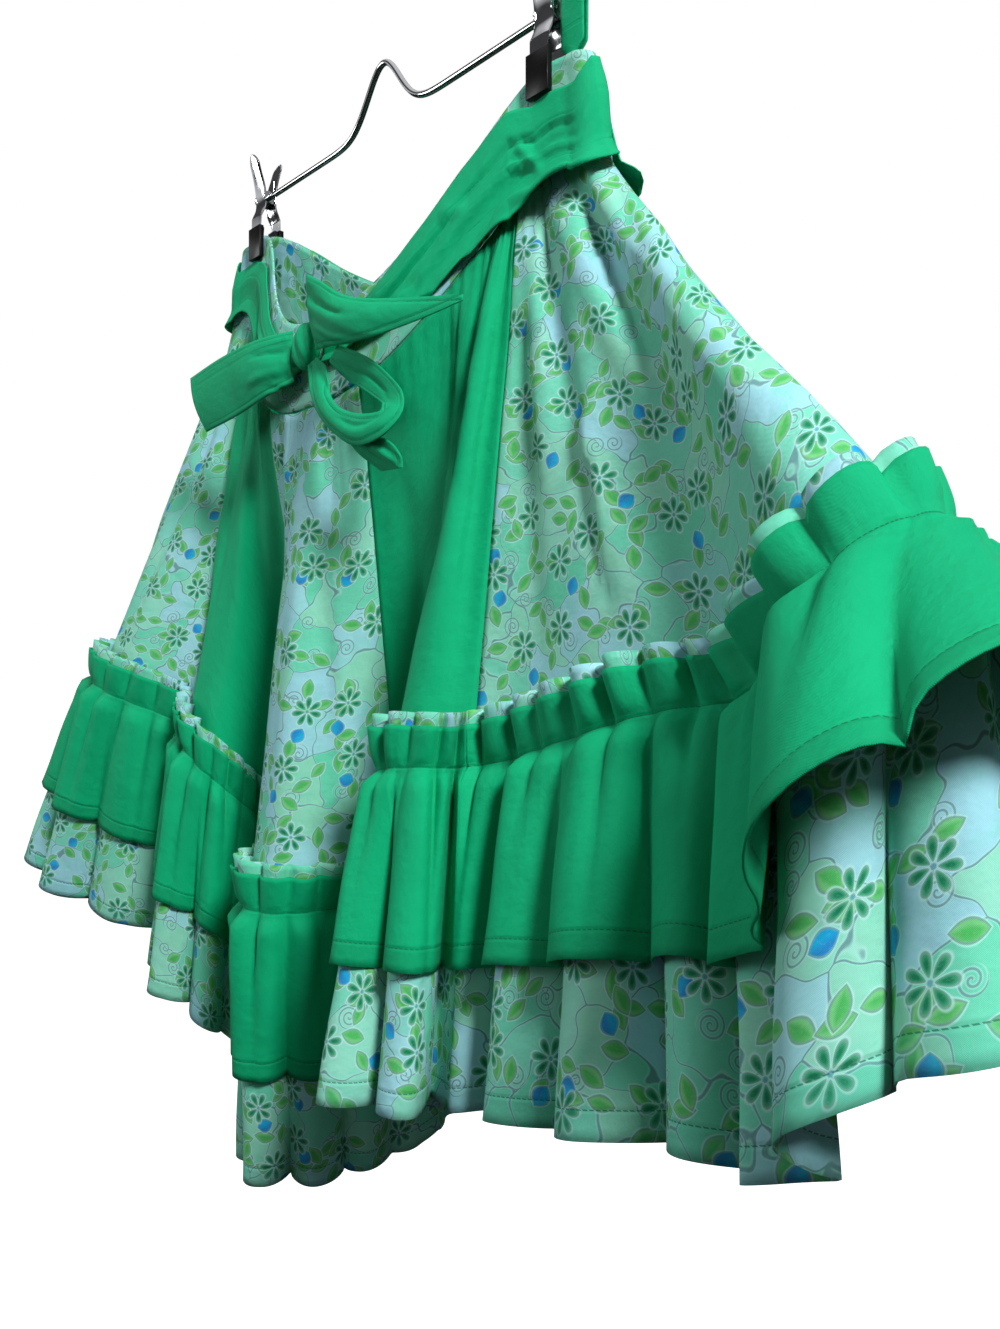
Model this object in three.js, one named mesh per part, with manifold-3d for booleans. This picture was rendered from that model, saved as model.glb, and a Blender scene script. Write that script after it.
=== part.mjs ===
// A square dance skirt on a wire clip hanger: eight gores, a waistband, a gathered print flounce
// under a shorter gathered green one, and a green sash tied in a bow.
// Millimetres, +Z up, +X to the wearer's left clip, front towards -Y. The origin is the underside
// of the hanger's raised middle, where the hanger is held.
import * as THREE from 'three';
import { mergeVertices } from 'three/addons/utils/BufferGeometryUtils.js';
import Module from 'manifold-3d';

// ---- driving dimensions -------------------------------------------------------------------
const GAP = 0.35;                 // between pieces that are sewn or pressed together
const SEAM_GAP = 1.1;             // between the waistband and the gores, where the loops bend
const WIRE_R = 2;
const HUMP_RISE = 38.5;           // underside of the hump above the underside of the bar
const HUMP_WIDTH = 23.85;         // from its middle to where the rise has fallen to a third
const CLIP_X = 150;               // clip centre from the middle of the hanger
const WIRE_END = 7.5;             // wire past the clip centre
const CLIP_DROP = 26;             // bar down to the waistband's top edge
const WAIST_Z = -HUMP_RISE - CLIP_DROP;
const BAND = 60;                  // waistband height on the cloth
const SEAM_DROP = 57.5;           // the same height, plumb
const GORE = 300;                 // waist seam to gather line
const PRINT_FLOUNCE = 161;        // gather line to hem
const GREEN_FLOUNCE = 97;
const PRINT_HEADING = 28;         // frill above the gather line
const GREEN_HEADING = 21;
const CLOTH = 1.2;
const BAND_CLOTH = 1.4;
const SASH_CLOTH = 1.4;

// Waist ring: lengths of the front between the clip and the middle, of the spare cloth looped
// out past each clip, and of the back.
const FRONT_HALF = 191;
const LOOP = 64;
const BACK_HALF = 168;
const WAIST = 2 * (FRONT_HALF + LOOP + BACK_HALF);
const PINCH = 2.4;                // half the gap between the two walls in a clip
const LOOP_OUT = 31;
const LOOP_PUFF = 7;
const LOOP_FLAT = 0.35;           // share of the loop that the clip still presses flat
const LOOP_DROOP = 6;
const LOOP_MIDDLE = 2.11;         // its place round the waist
const FRONT_DROOP = 106;
const BACK_DROOP = 62;
const FRONT_BULGE = 42;
const BACK_BULGE = 34;
const SEAM_SPREAD = 16;           // how far the waist seam stands wider than the top edge
const PINCH_SPREAD = 0.35;        // shares of that spread which open the clipped walls, deepen the
const BULGE_SPREAD = 0.3;         // bulges and shorten the loops
const LOOP_SPREAD = 0.4;
const FRONT_SAG = 1.35;           // how narrow the front's and the back's sag is
const BACK_SAG = 1.2;
const SAG_EASE = 0.12;

// Pleats: columns across a gore, and the waves that they carry.
const GORES = 8;
const FLUTES = 7;                 // flutes in a flounce for each gore
const FINE = FLUTES * 4;          // flounce columns for each gore
const COARSE = FINE / 2;          // gore columns for each gore
const WAVE = [1, 1, -1, -1];      // columns of one wave, each side of the cloth's mean
const WAIST_GATHER = 1.82;        // height of the waist gathers
const SEAM_GATHER = 1.3;          // height of the gathers on the gather line
const HEADING_GATHER = 3;
const FLUTE_DEPTH = 6.38;         // height of the flutes at the hem
const EASY_ROOM = 8;              // room for a column at which its pleat is as high as it gets

// Folds of the gathered seam, seen from above. g counts gores round the skirt from the middle of
// the front; a row with a gore seam fixes g there. hang is the place round the waist that the
// fold hangs from; x y is the gather line and hx hy the print hem; ripple scales the flutes, and
// lift is how far the green hem stands out.
const FOLDS = [
  // seam, hang,    x,    y,   hx,   hy, ripple, lift
  [null, -0.15,  -26,  -80,  -32,  -76, 0.9, 5],    // centre print fold
  [null,  0.10,    6,  -86,    0,  -78, 0.9, 5],
  [null,  0.28,   22,  -48,   20,  -42, 0.6, 4],
  [0.5,   0.46,   34,   -8,   34,   -4, 0.35, 3],   // valley beside it
  [null,  0.75,   56,    8,   56,   10, 0.3, 3],
  [null,  1.00,   76,   -6,   76,   -8, 0.35, 3],
  [null,  1.20,   87,  -36,   90,  -54, 0.6, 4],    // front green fold
  [null,  1.36,   99,  -68,  108, -102, 0.9, 5],
  [null,  1.43,  123,  -72,  136, -100, 1, 5],
  [1.5,   1.48,  144,  -50,  156,  -70, 0.8, 5],
  [null,  1.54,  170,  -44,  184,  -66, 1, 6],      // wide print gore
  [null,  1.64,  208,  -50,  230,  -84, 1, 8],
  [null,  1.76,  252,  -53,  280,  -90, 1, 10],
  [null,  1.92,  298,  -50,  336,  -92, 1, 9],
  [null,  2.06,  332,  -70,  362, -104, 1, 14],
  [null,  2.16,  366,  -92,  384, -126, 1, 50],     // fold that stands out at the side
  [null,  2.26,  382,  -72,  404, -122, 1, 52],
  [2.5,   2.45,  368,  -22,  440,  -66, 1, 36],
  [null,  2.75,  340,   34,  440,   44, 1, 12],      // back, side green gore
  [null,  3.05,  300,   54,  340,   80, 1, 6],
  [null,  3.30,  262,   44,  284,   56, 0.8, 5],
  [3.5,   3.50,  232,   54,  245,   66, 0.8, 5],
  [null,  3.62,  202,   74,  210,   92, 1, 5],      // back print gore
  [null,  3.72,  166,   82,  170,  106, 1, 5],
  [null,  3.82,  130,   72,  134,   86, 1, 5],
  [null,  3.92,   95,   66,   96,   78, 1, 5],
  [null,  4.05,   60,   82,   60,  100, 1, 5],
  [null,  4.18,   25,   90,   25,  112, 1, 5],
  [null,  4.30,  -10,   78,  -12,   92, 1, 5],
  [null,  4.42,  -42,   70,  -44,   82, 1, 5],
  [4.5,   4.50,  -70,   80,  -72,   98, 1, 5],
  [null,  4.65, -100,   90, -106,  114, 1, 5],      // back green gore
  [null,  4.82, -132,   82, -142,  102, 1, 5],
  [null,  5.02, -168,   66, -182,   80, 1, 5],
  [null,  5.25, -215,   66, -240,   84, 1, 5],
  [5.5,   5.50, -262,   58, -300,   78, 1, 5],
  [null,  5.75, -298,   24, -354,   34, 1, 6],      // far side print gore
  [null,  6.00, -302,  -20, -368,  -30, 1, 6],
  [null,  6.13, -284,  -58, -346,  -82, 1, 6],
  [null,  6.22, -252,  -86, -304, -110, 1, 6],
  [null,  6.31, -214,  -90, -256, -106, 1, 5],
  [null,  6.39, -186,  -70, -214,  -78, 0.8, 4],
  [6.5,   6.47, -160,  -56, -180,  -60, 0.6, 4],
  [null,  6.60, -134,  -70, -148,  -80, 0.9, 5],    // front green fold, far side
  [null,  6.80, -108,  -66, -118,  -76, 0.9, 5],
  [null,  7.05, -102,  -36, -107,  -40, 0.4, 3],
  [null,  7.25,  -95,   -8,  -98,   -8, 0.2, 2],    // valley beside it
  [7.5,   7.45,  -74,    8,  -75,   12, 0.15, 2],
  [null,  7.60,  -53,   -8,  -53,   -4, 0.2, 2],
  [null,  7.73,  -45,  -44,  -46,  -40, 0.5, 3],
];
const HANG = 1, X = 2, Y = 3, HEM_X = 4, HEM_Y = 5, RIPPLE = 6, LIFT = 7;

const GORE_ROWS = [0, 0.1, 0.3, 0.6, 1 - PRINT_HEADING / GORE, 1];    // share of the gore's length
const GORE_GATHERS = [0, 1, 0.6, 0.2, 0, 0];        // how much of the waist gathers is left there
const LOOP_CALM = [0.2, 0.6];     // gathers start and are full at these places from a loop's middle
const PRINT_ROWS = [-PRINT_HEADING, 0, 40, GREEN_FLOUNCE, PRINT_FLOUNCE];
const GREEN_ROWS = [-GREEN_HEADING, 0, 40, GREEN_FLOUNCE];

// Sash on the waistband: place round the waist, and its two edges below the band's top edge.
const SASH_RIGHT = [
  // waist, top, bottom
  [0.16, 17, 36],
  [0.55, 7, 38],
  [0.85, 3, 48],
  [1.16, 2, 60],
  [1.46, 6, 74],
  [1.64, 20, 78],
  [1.96, 20, 77],
  [2.06, 5, 72],
  [2.15, 3, 66],
];
const SASH_LEFT = [
  [-2.18, 3, 60],
  [-2.06, 5, 61],
  [-1.96, 20, 61],
  [-1.64, 20, 58],
  [-1.34, 10, 52],
  [-0.8, 12, 42],
  [-0.05, 18, 36],
];
const SASH_BACK = [
  [2.24, 10, 88],
  [2.28, 21, 92],
  [2.58, 21, 90],
  [2.76, 2, 86],
  [3.15, -2, 70],
  [4, -3, 58],
  [5, -3, 58],
  [5.24, 0, 58],
  [5.42, 21, 59],
  [5.72, 21, 60],
  [5.78, 10, 60],
];
const SASH_FOLDS = [2.8, 4.8, 3.0, 5.2];            // stand-off across the sash, lengthwise folds
const SASH_BACK_FOLDS = [2.4, 3.4, 3.0];
const SASH_FLARE = 0.14;          // stand-off gained for each mm past this depth
const FLARE_FROM = BAND - 10;

// The bow, in front of the sash: each ribbon runs through these pairs of edge points.
const KNOT = { x: 5, y: -60, z: -193, width: 27, depth: 14, height: 28, tilt: 0.45 };
const LEFT_TAIL = [
  // upper edge x y z,   lower edge x y z,   cup
  [-9.1, -61, -181, -8.1, -61, -212, 2],
  [-40, -68, -181, -30, -67, -218, 4],
  [-84, -70, -183, -68, -68, -224, 2],
  [-131, -69, -187, -111, -67, -227, 3],
];
const POINTED_LOOP = [
  [8, -62, -151, 20, -62.5, -199, 2],
  [31, -66, -163, 37, -66.5, -202, 4],
  [57, -68.5, -178, 62, -69.5, -206, 6],
  [84, -68, -187, 90, -69, -208, 4],
  [118, -64, -194, 122, -64.5, -206, 1],
  [148, -59, -199, 148, -59, -202, 0],
];
// The other loop hangs: down on the left, round the front and up on the right.
const HANGING_LOOP = [
  // outer edge x y z,   inner edge x y z,   cup
  [9, -61.5, -206, 19, -61.5, -203, 0],
  [17, -66, -215, 33, -64.5, -211.5, 0],
  [27, -71, -227, 42, -69, -220, -1],
  [42, -75.5, -242, 50, -73, -232, -2],
  [62.7, -79, -256.4, 67.4, -77, -244, -2.5],
  [86, -80, -267.5, 88.5, -78.5, -251, -2.5],
  [107.9, -79, -265.7, 103, -77.5, -252, -2],
  [118.6, -75, -255.7, 101, -74, -247.5, -1],
  [112, -69, -243, 89, -67, -242.5, 0],
  [96.3, -65.5, -230.3, 67, -63, -231, 0],
  [73, -63, -215, 50, -62, -222, 0],
  [40, -61, -200, 31, -61, -208, 0],
];
const SHORT_TAIL = [
  [72, -78.1, -260, 97, -79.5, -262, 0],
  [80, -74, -270, 109, -74.5, -268, -1.5],
  [89.5, -72.5, -276.5, 115.5, -73, -275.5, -1],
  [97.5, -72, -281.5, 116, -72, -282, 0],
];

// Hanging loop of the skirt: a strap that leaves the looped waistband beside the clip.
const STRAP = { x: 168, half: 8, footHalf: 3.2, leg: 1.15, foot: 9, rise: 76, puff: 0.5 };
const STRAP_STEPS = { leg: 6, turn: 4 };

// ---- materials ----------------------------------------------------------------------------
const paint = (color, roughness, metalness = 0) =>
  new THREE.MeshStandardMaterial({ color, roughness, metalness });
const printCloth = () => paint(0x8fd0b8, 0.85);
const greenCloth = () => paint(0x00a464, 0.7);
const chrome = () => paint(0xc8ccd0, 0.25, 1);
const vinyl = () => paint(0x101214, 0.5);

// ---- small helpers ------------------------------------------------------------------------
const skirt = new THREE.Group();
const wasm = await Module();
wasm.setup();

const mix = (a, b, t) => a + (b - a) * t;
const clamp01 = (t) => Math.min(Math.max(t, 0), 1);
const wrap = (v, size) => ((v % size) + size) % size;
const signed = (g) => wrap(g + GORES / 2, GORES) - GORES / 2;     // from the front's middle
const vec = (x, y, z) => new THREE.Vector3(x, y, z);
const uneven = (k) => 1 + 0.2 * Math.sin(2.4 * k + 0.7) + 0.13 * Math.sin(5.3 * k);

function add(name, geometry, material) {
  const mesh = new THREE.Mesh(geometry, material);
  mesh.name = name;
  skirt.add(mesh);
  return mesh;
}

function toSolid(geometry) {
  const plain = geometry.clone();
  plain.deleteAttribute('normal');
  plain.deleteAttribute('uv');
  const merged = mergeVertices(plain, 1e-4);
  return new wasm.Manifold(new wasm.Mesh({
    numProp: 3,
    vertProperties: new Float32Array(merged.attributes.position.array),
    triVerts: new Uint32Array(merged.index.array),
  }));
}

function toGeometry(solid) {
  const mesh = solid.getMesh();
  const geometry = new THREE.BufferGeometry();
  geometry.setAttribute('position', new THREE.BufferAttribute(new Float32Array(mesh.vertProperties), 3));
  geometry.setIndex(new THREE.BufferAttribute(new Uint32Array(mesh.triVerts), 1));
  return geometry;
}

// Outward normals of a grid of points: rows run down the cloth, columns to the wearer's left.
function normalsOf(grid, closed) {
  const last = grid.length - 1;
  return grid.map((row, i) => row.map((_, j) => {
    const count = row.length;
    const before = closed ? wrap(j - 1, count) : Math.max(j - 1, 0);
    const after = closed ? wrap(j + 1, count) : Math.min(j + 1, count - 1);
    const across = row[after].clone().sub(row[before]);
    const down = grid[Math.min(i + 1, last)][j].clone().sub(grid[Math.max(i - 1, 0)][j]);
    return down.cross(across).normalize();
  }));
}

// A closed wall of even thickness about a grid of points.
function wall(grid, normals, thickness, closed = false) {
  const rows = grid.length;
  const cols = grid[0].length;
  const layer = rows * cols;
  const positions = [];
  for (const side of [0.5, -0.5]) {
    grid.forEach((row, i) => row.forEach((point, j) => {
      positions.push(...point.clone().addScaledVector(normals[i][j], side * thickness).toArray());
    }));
  }
  const outer = (i, j) => i * cols + wrap(j, cols);
  const inner = (i, j) => layer + outer(i, j);
  const index = [];
  const quad = (a, b, c, d) => index.push(a, b, c, a, c, d);
  const spans = closed ? cols : cols - 1;
  for (let j = 0; j < spans; j++) {
    for (let i = 0; i < rows - 1; i++) {
      quad(outer(i, j), outer(i + 1, j), outer(i + 1, j + 1), outer(i, j + 1));
      quad(inner(i, j), inner(i, j + 1), inner(i + 1, j + 1), inner(i + 1, j));
    }
    quad(outer(0, j), outer(0, j + 1), inner(0, j + 1), inner(0, j));
    quad(outer(rows - 1, j), inner(rows - 1, j), inner(rows - 1, j + 1), outer(rows - 1, j + 1));
  }
  if (!closed) {
    for (let i = 0; i < rows - 1; i++) {
      quad(outer(i, 0), inner(i, 0), inner(i + 1, 0), outer(i + 1, 0));
      quad(outer(i, cols - 1), outer(i + 1, cols - 1), inner(i + 1, cols - 1), inner(i, cols - 1));
    }
  }
  const geometry = new THREE.BufferGeometry();
  geometry.setAttribute('position', new THREE.Float32BufferAttribute(positions, 3));
  geometry.setIndex(index);
  return geometry;
}

// Cuts columns first..last out of a ring, with half a gap trimmed off each end.
function panel(name, material, grid, normals, first, last, thickness) {
  const count = grid[0].length;
  const pick = (row) => Array.from({ length: last - first + 1 }, (_, k) => row[wrap(first + k, count)]);
  const points = grid.map((row) => pick(row).map((point) => point.clone()));
  for (const row of points) {
    const end = row.length - 1;
    const trim = (at, next) => row[at].lerp(row[next], GAP / 2 / row[at].distanceTo(row[next]));
    trim(0, 1);
    trim(end, end - 1);
  }
  add(name, wall(points, normals.map(pick), thickness), material);
}

// ---- the skirt's form ---------------------------------------------------------------------
// A level ring of the waistband: spread widens it from the clipped top edge, drop lowers it.
function waistRing(g, spread, drop) {
  const side = signed(g) < 0 ? -1 : 1;
  const s = Math.abs(signed(g)) / GORES * WAIST;
  const half = CLIP_X + spread;
  const pinch = PINCH + PINCH_SPREAD * spread;
  const reach = (q) => half * ((1 + SAG_EASE) * q - SAG_EASE * q ** 3);
  if (s <= FRONT_HALF) {
    const q = s / FRONT_HALF;
    const sag = (1 + Math.cos(Math.PI * q ** FRONT_SAG)) / 2;
    const y = -pinch - (FRONT_BULGE + BULGE_SPREAD * spread) * sag;
    return vec(side * reach(q), y, WAIST_Z - FRONT_DROOP * sag - drop);
  }
  if (s <= FRONT_HALF + LOOP) {
    const w = (s - FRONT_HALF) / LOOP;
    const out = Math.sin(Math.PI * w);
    const puff = THREE.MathUtils.smoothstep(out, LOOP_FLAT, 1);
    const x = half + (LOOP_OUT - LOOP_SPREAD * spread) * out;
    const y = -(pinch + LOOP_PUFF * puff) * Math.cos(Math.PI * w);
    return vec(side * x, y, WAIST_Z - LOOP_DROOP * out ** 2 - drop);
  }
  const q = (WAIST / 2 - s) / BACK_HALF;
  const sag = (1 + Math.cos(Math.PI * q ** BACK_SAG)) / 2;
  const y = pinch + (BACK_BULGE + BULGE_SPREAD * spread) * sag;
  return vec(side * reach(q), y, WAIST_Z - BACK_DROOP * sag - drop);
}

// Places the folds round the skirt by their chord lengths between gore seams.
function placeFolds() {
  const count = FOLDS.length;
  const seams = FOLDS.map((row, i) => i).filter((i) => FOLDS[i][0] !== null);
  const placed = [];
  seams.forEach((from, k) => {
    const to = k + 1 < seams.length ? seams[k + 1] : seams[0] + count;
    const chord = (i) => Math.hypot(
      FOLDS[(i + 1) % count][X] - FOLDS[i % count][X],
      FOLDS[(i + 1) % count][Y] - FOLDS[i % count][Y]);
    let total = 0;
    for (let i = from; i < to; i++) total += chord(i);
    let run = 0;
    for (let i = from; i < to; i++) {
      const g = wrap(FOLDS[from][0] + run / total, GORES);
      const row = [...FOLDS[i % count]];
      row[0] = g;
      row[HANG] = signed(row[HANG] - g);
      placed.push(row);
      run += chord(i);
    }
  });
  placed.sort((a, b) => a[0] - b[0]);
  const shifted = (by) => placed.map((row) => [row[0] + by, ...row.slice(1)]);
  return [...shifted(-GORES), ...placed, ...shifted(GORES)];
}
const TRACK = placeFolds();

// One column of the folds at g, by cubic pieces.
function track(g, column) {
  const at = wrap(g, GORES);
  let i = 1;
  while (TRACK[i + 1][0] <= at) i++;
  const [before, here, next, after] = [TRACK[i - 1], TRACK[i], TRACK[i + 1], TRACK[i + 2]];
  const span = next[0] - here[0];
  const slopeHere = (next[column] - before[column]) / (next[0] - before[0]) * span;
  const slopeNext = (after[column] - here[column]) / (after[0] - here[0]) * span;
  const u = (at - here[0]) / span;
  return (2 * u ** 3 - 3 * u ** 2 + 1) * here[column] + (u ** 3 - 2 * u ** 2 + u) * slopeHere
    + (3 * u ** 2 - 2 * u ** 3) * next[column] + (u ** 3 - u ** 2) * slopeNext;
}

// The end of a cloth of this length that hangs from a point and reaches x y.
const LEAST_FALL = 0.3;
function fall(from, x, y, length) {
  const away = Math.hypot(x - from.x, y - from.y);
  const drop = Math.sqrt(Math.max(length ** 2 - away ** 2, (LEAST_FALL * length) ** 2));
  return vec(x, y, from.z - drop);
}
const waistSeam = (w) => waistRing(w, SEAM_SPREAD, SEAM_DROP);
const hang = (g) => g + track(g, HANG);
const gatherLine = (g) => fall(waistSeam(hang(g)), track(g, X), track(g, Y), GORE);
const printHem = (g) => fall(gatherLine(g), track(g, HEM_X), track(g, HEM_Y), PRINT_FLOUNCE);

// A point on the body of the skirt: depth is the cloth's length below the waistband's top edge.
function body(g, depth) {
  if (depth <= BAND) {
    const share = depth / BAND;
    return waistRing(hang(g), SEAM_SPREAD * share, SEAM_DROP * share);
  }
  return waistSeam(hang(g)).lerp(gatherLine(g), (depth - BAND) / GORE);
}

function ring(count, rows, place) {
  return rows.map((row, i) => Array.from({ length: count }, (_, j) => place(j, row, i)));
}
const NEAR = 0.02;                // gores either side of a place, for its direction
const coarseG = (j) => j / COARSE - 0.5;
const fineG = (j) => j / FINE - 0.5;

// ---- cloth --------------------------------------------------------------------------------
function moved(grid, normals, distance) {
  return grid.map((row, i) => row.map((point, j) =>
    point.clone().addScaledVector(normals[i][j], distance(i, j))));
}

function makeWaistband() {
  const grid = ring(GORES * COARSE, [0, BAND - GAP], (j, depth) => body(coarseG(j), depth));
  const normals = normalsOf(grid, true);
  const right = nearestColumn(LOOP_MIDDLE);
  const left = nearestColumn(GORES - LOOP_MIDDLE);
  panel('waistband_front', printCloth(), grid, normals, left - GORES * COARSE, right, BAND_CLOTH);
  panel('waistband_back', printCloth(), grid, normals, right, left, BAND_CLOTH);
}

// The coarse column that hangs nearest a place round the waist.
function nearestColumn(w) {
  let best = 0;
  for (let j = 0; j < GORES * COARSE; j++) {
    const miss = (k) => Math.abs(signed(hang(coarseG(k)) - w));
    if (miss(j) < miss(best)) best = j;
  }
  return best;
}

const GORE_NAMES = ['front_print', 'front_right_green', 'right_print', 'back_right_green',
  'back_print', 'back_left_green', 'left_print', 'front_left_green'];

function makeGores() {
  const start = BAND + SEAM_GAP;
  const base = ring(GORES * COARSE, GORE_ROWS, (j, share) =>
    body(coarseG(j), start + share * (BAND + GORE - start)));
  const waved = moved(base, normalsOf(base, true), (i, j) => {
    const fromLoop = Math.abs(Math.abs(signed(hang(coarseG(j)))) - LOOP_MIDDLE);
    const gathered = GORE_GATHERS[i] * THREE.MathUtils.smoothstep(fromLoop, ...LOOP_CALM);
    return WAIST_GATHER * gathered * WAVE[j % 4] * uneven(Math.floor(j / 4));
  });
  const normals = normalsOf(waved, true);
  GORE_NAMES.forEach((name, k) => {
    const cloth = name.endsWith('print') ? printCloth() : greenCloth();
    panel(`gore_${name}`, cloth, waved, normals, k * COARSE, (k + 1) * COARSE, CLOTH);
  });
}

// A flounce's unpleated form: it lies along the gores above the gather line, and hangs below it.
// lift is how far its hem stands out from the print flounce's own fall.
function flounceBase(rows, lift) {
  const onBody = (g, row) => body(g, BAND + GORE + row);
  return ring(GORES * FINE, rows, (j, row) => {
    if (row > 0) return hanging(fineG(j), row, lift(fineG(j), row));
    if (j % 2 === 0) return onBody(fineG(j), row);
    return onBody(fineG(j - 1), row).lerp(onBody(fineG(j + 1), row), 0.5);
  });
}

// A point on a flounce, this far down it and lifted outwards from the print flounce's fall:
// square off the gather line where it lifts little, and along its own fall where it lifts much.
const SWING = { from: 8, to: 40, most: 0.85 };
function hanging(g, row, lift) {
  const seam = gatherLine(g);
  const hem = printHem(g);
  const point = seam.clone().lerp(hem, row / PRINT_FLOUNCE);
  if (!lift) return point;
  const along = gatherLine(g + NEAR).sub(gatherLine(g - NEAR));
  const outward = vec(along.y, -along.x, 0).normalize();
  const away = vec(hem.x - seam.x, hem.y - seam.y, 0).normalize();
  const swing = SWING.most * THREE.MathUtils.smoothstep(track(g, LIFT), SWING.from, SWING.to);
  outward.lerp(away, swing).normalize();
  return fall(seam, point.x + lift * outward.x, point.y + lift * outward.y, row);
}

// Height of the pleats: sharp gathers on the frill, which relax into flutes at the hem.
function pleat(j, row, room) {
  const ripple = track(fineG(j), RIPPLE);
  const tight = Math.min(room / EASY_ROOM, 1);
  if (row <= 0) {
    const height = mix(SEAM_GATHER, HEADING_GATHER, -row / PRINT_HEADING);
    return height * tight * (j % 2 ? -1 : 1) * mix(1, uneven(j), -row / PRINT_HEADING / 2);
  }
  const grow = Math.sqrt(row / PRINT_FLOUNCE);
  return FLUTE_DEPTH * grow * ripple * tight * uneven(Math.floor(j / 4)) * WAVE[j % 4];
}

function makeFlounce(name, cloth, rows, standOff, lift) {
  const base = flounceBase(rows, lift);
  const normals = normalsOf(base, true);
  const count = GORES * FINE;
  const pleated = moved(base, normals, (i, j) => {
    const room = base[i][j].distanceTo(base[i][(j + 1) % count]);
    return standOff(rows[i]) + pleat(j, rows[i], room);
  });
  const outward = normalsOf(pleated, true);
  ['front', 'right', 'back', 'left'].forEach((side, k) => {
    panel(`${name}_${side}`, cloth(), pleated, outward, 2 * k * FINE, 2 * (k + 1) * FINE, CLOTH);
  });
}

const STAND_OFF = { seam: 3, frill: 4.8 };          // print flounce off the gores
const OVER = { seam: 2.4, frill: 2.8, below: 3 };   // green flounce off the print one
const printStandOff = (row) =>
  (row <= 0 ? mix(STAND_OFF.seam, STAND_OFF.frill, -row / PRINT_HEADING) : STAND_OFF.seam);
const greenStandOff = (row) =>
  printStandOff(row) + (row <= 0 ? mix(OVER.seam, OVER.frill, -row / GREEN_HEADING) : OVER.below);
const greenLift = (g, row) => (track(g, LIFT) - OVER.below) * (row / GREEN_FLOUNCE) ** 1.2;

// A sash on the waistband, from its table of edges, with lengthwise folds.
function makeSash(name, table, folds) {
  const from = nearestColumn(wrap(table[0][0], GORES));
  let to = nearestColumn(wrap(table[table.length - 1][0], GORES));
  if (to < from) to += GORES * COARSE;
  const edge = (w, column) => {
    let i = 0;
    while (i < table.length - 2 && table[i + 1][0] < w) i++;
    const share = clamp01((w - table[i][0]) / (table[i + 1][0] - table[i][0]));
    return mix(table[i][column], table[i + 1][column], share);
  };
  const points = folds.map((_, r) => Array.from({ length: to - from + 1 }, (__, k) => {
    const g = coarseG(from + k);
    const w = wrap(hang(g), GORES) - (table[0][0] < 0 ? GORES : 0);
    return { g, depth: mix(edge(w, 1), edge(w, 2), r / (folds.length - 1)) };
  }));
  const base = points.map((row) => row.map(({ g, depth }) => body(g, depth)));
  const lifted = moved(base, normalsOf(base, false), (i, j) =>
    folds[i] + SASH_FLARE * Math.max(points[i][j].depth - FLARE_FROM, 0));
  add(name, wall(lifted, normalsOf(lifted, false), SASH_CLOTH), greenCloth());
}

// ---- bow ----------------------------------------------------------------------------------
const RIBBON_ACROSS = 4;
function ribbon(name, table, steps = 10) {
  const curves = [0, 3].map((c) =>
    new THREE.CatmullRomCurve3(table.map((row) => vec(...row.slice(c, c + 3)))));
  const cups = new THREE.CatmullRomCurve3(table.map((row, i) => vec(i, row[6], 0)));
  const grid = [];
  for (let r = 0; r <= RIBBON_ACROSS; r++) {
    const share = r / RIBBON_ACROSS;
    grid.push(Array.from({ length: steps + 1 }, (_, k) =>
      curves[0].getPoint(k / steps).lerp(curves[1].getPoint(k / steps), share)));
  }
  const flipped = table[0][0] > table[table.length - 1][0];
  if (flipped) grid.forEach((row) => row.reverse());
  const cupped = moved(grid, normalsOf(grid, false), (i, j) =>
    cups.getPoint((flipped ? steps - j : j) / steps).y * Math.sin(Math.PI * i / RIBBON_ACROSS));
  add(name, wall(cupped, normalsOf(cupped, false), SASH_CLOTH), greenCloth());
}

const KNOT_FACES = { around: 14, down: 9 };
function makeKnot() {
  const geometry = new THREE.SphereGeometry(0.5, KNOT_FACES.around, KNOT_FACES.down);
  geometry.scale(KNOT.width, KNOT.depth, KNOT.height);
  geometry.rotateY(KNOT.tilt);
  geometry.translate(KNOT.x, KNOT.y, KNOT.z);
  add('bow_knot', geometry, greenCloth());
}

function makeStrap() {
  const section = [];
  const leg = (side, share) => {
    const y = side * (STRAP.leg + STRAP.puff * Math.sin(Math.PI * share));
    const half = share > 0 ? STRAP.half : STRAP.footHalf;
    section.push({ y, z: WAIST_Z + mix(-STRAP.foot, STRAP.rise, share), half });
  };
  leg(-1, 0);
  section.push({ y: -STRAP.leg, z: WAIST_Z, half: STRAP.footHalf });
  for (let k = 1; k <= STRAP_STEPS.leg; k++) leg(-1, k / STRAP_STEPS.leg);
  for (let k = 1; k < STRAP_STEPS.turn; k++) {
    const angle = Math.PI * k / STRAP_STEPS.turn;
    const z = WAIST_Z + STRAP.rise + STRAP.leg * Math.sin(angle);
    section.push({ y: -STRAP.leg * Math.cos(angle), z, half: STRAP.half });
  }
  for (let k = STRAP_STEPS.leg; k > 0; k--) leg(1, k / STRAP_STEPS.leg);
  section.push({ y: STRAP.leg, z: WAIST_Z, half: STRAP.footHalf });
  leg(1, 0);
  const grid = section.reverse().map(({ y, z, half }) => [-half, half].map((x) => vec(STRAP.x + x, y, z)));
  add('hanging_loop', wall(grid, normalsOf(grid, false), CLOTH), greenCloth());
}

// ---- hanger -------------------------------------------------------------------------------
const WIRE_STOPS = [-CLIP_X - WIRE_END, -130, -100, -75];       // points along the straight bar
const HUMP_STOPS = { end: 60, step: 5 };
const WIRE_SIDES = 7;
const WIRE_STEPS = 40;

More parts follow.
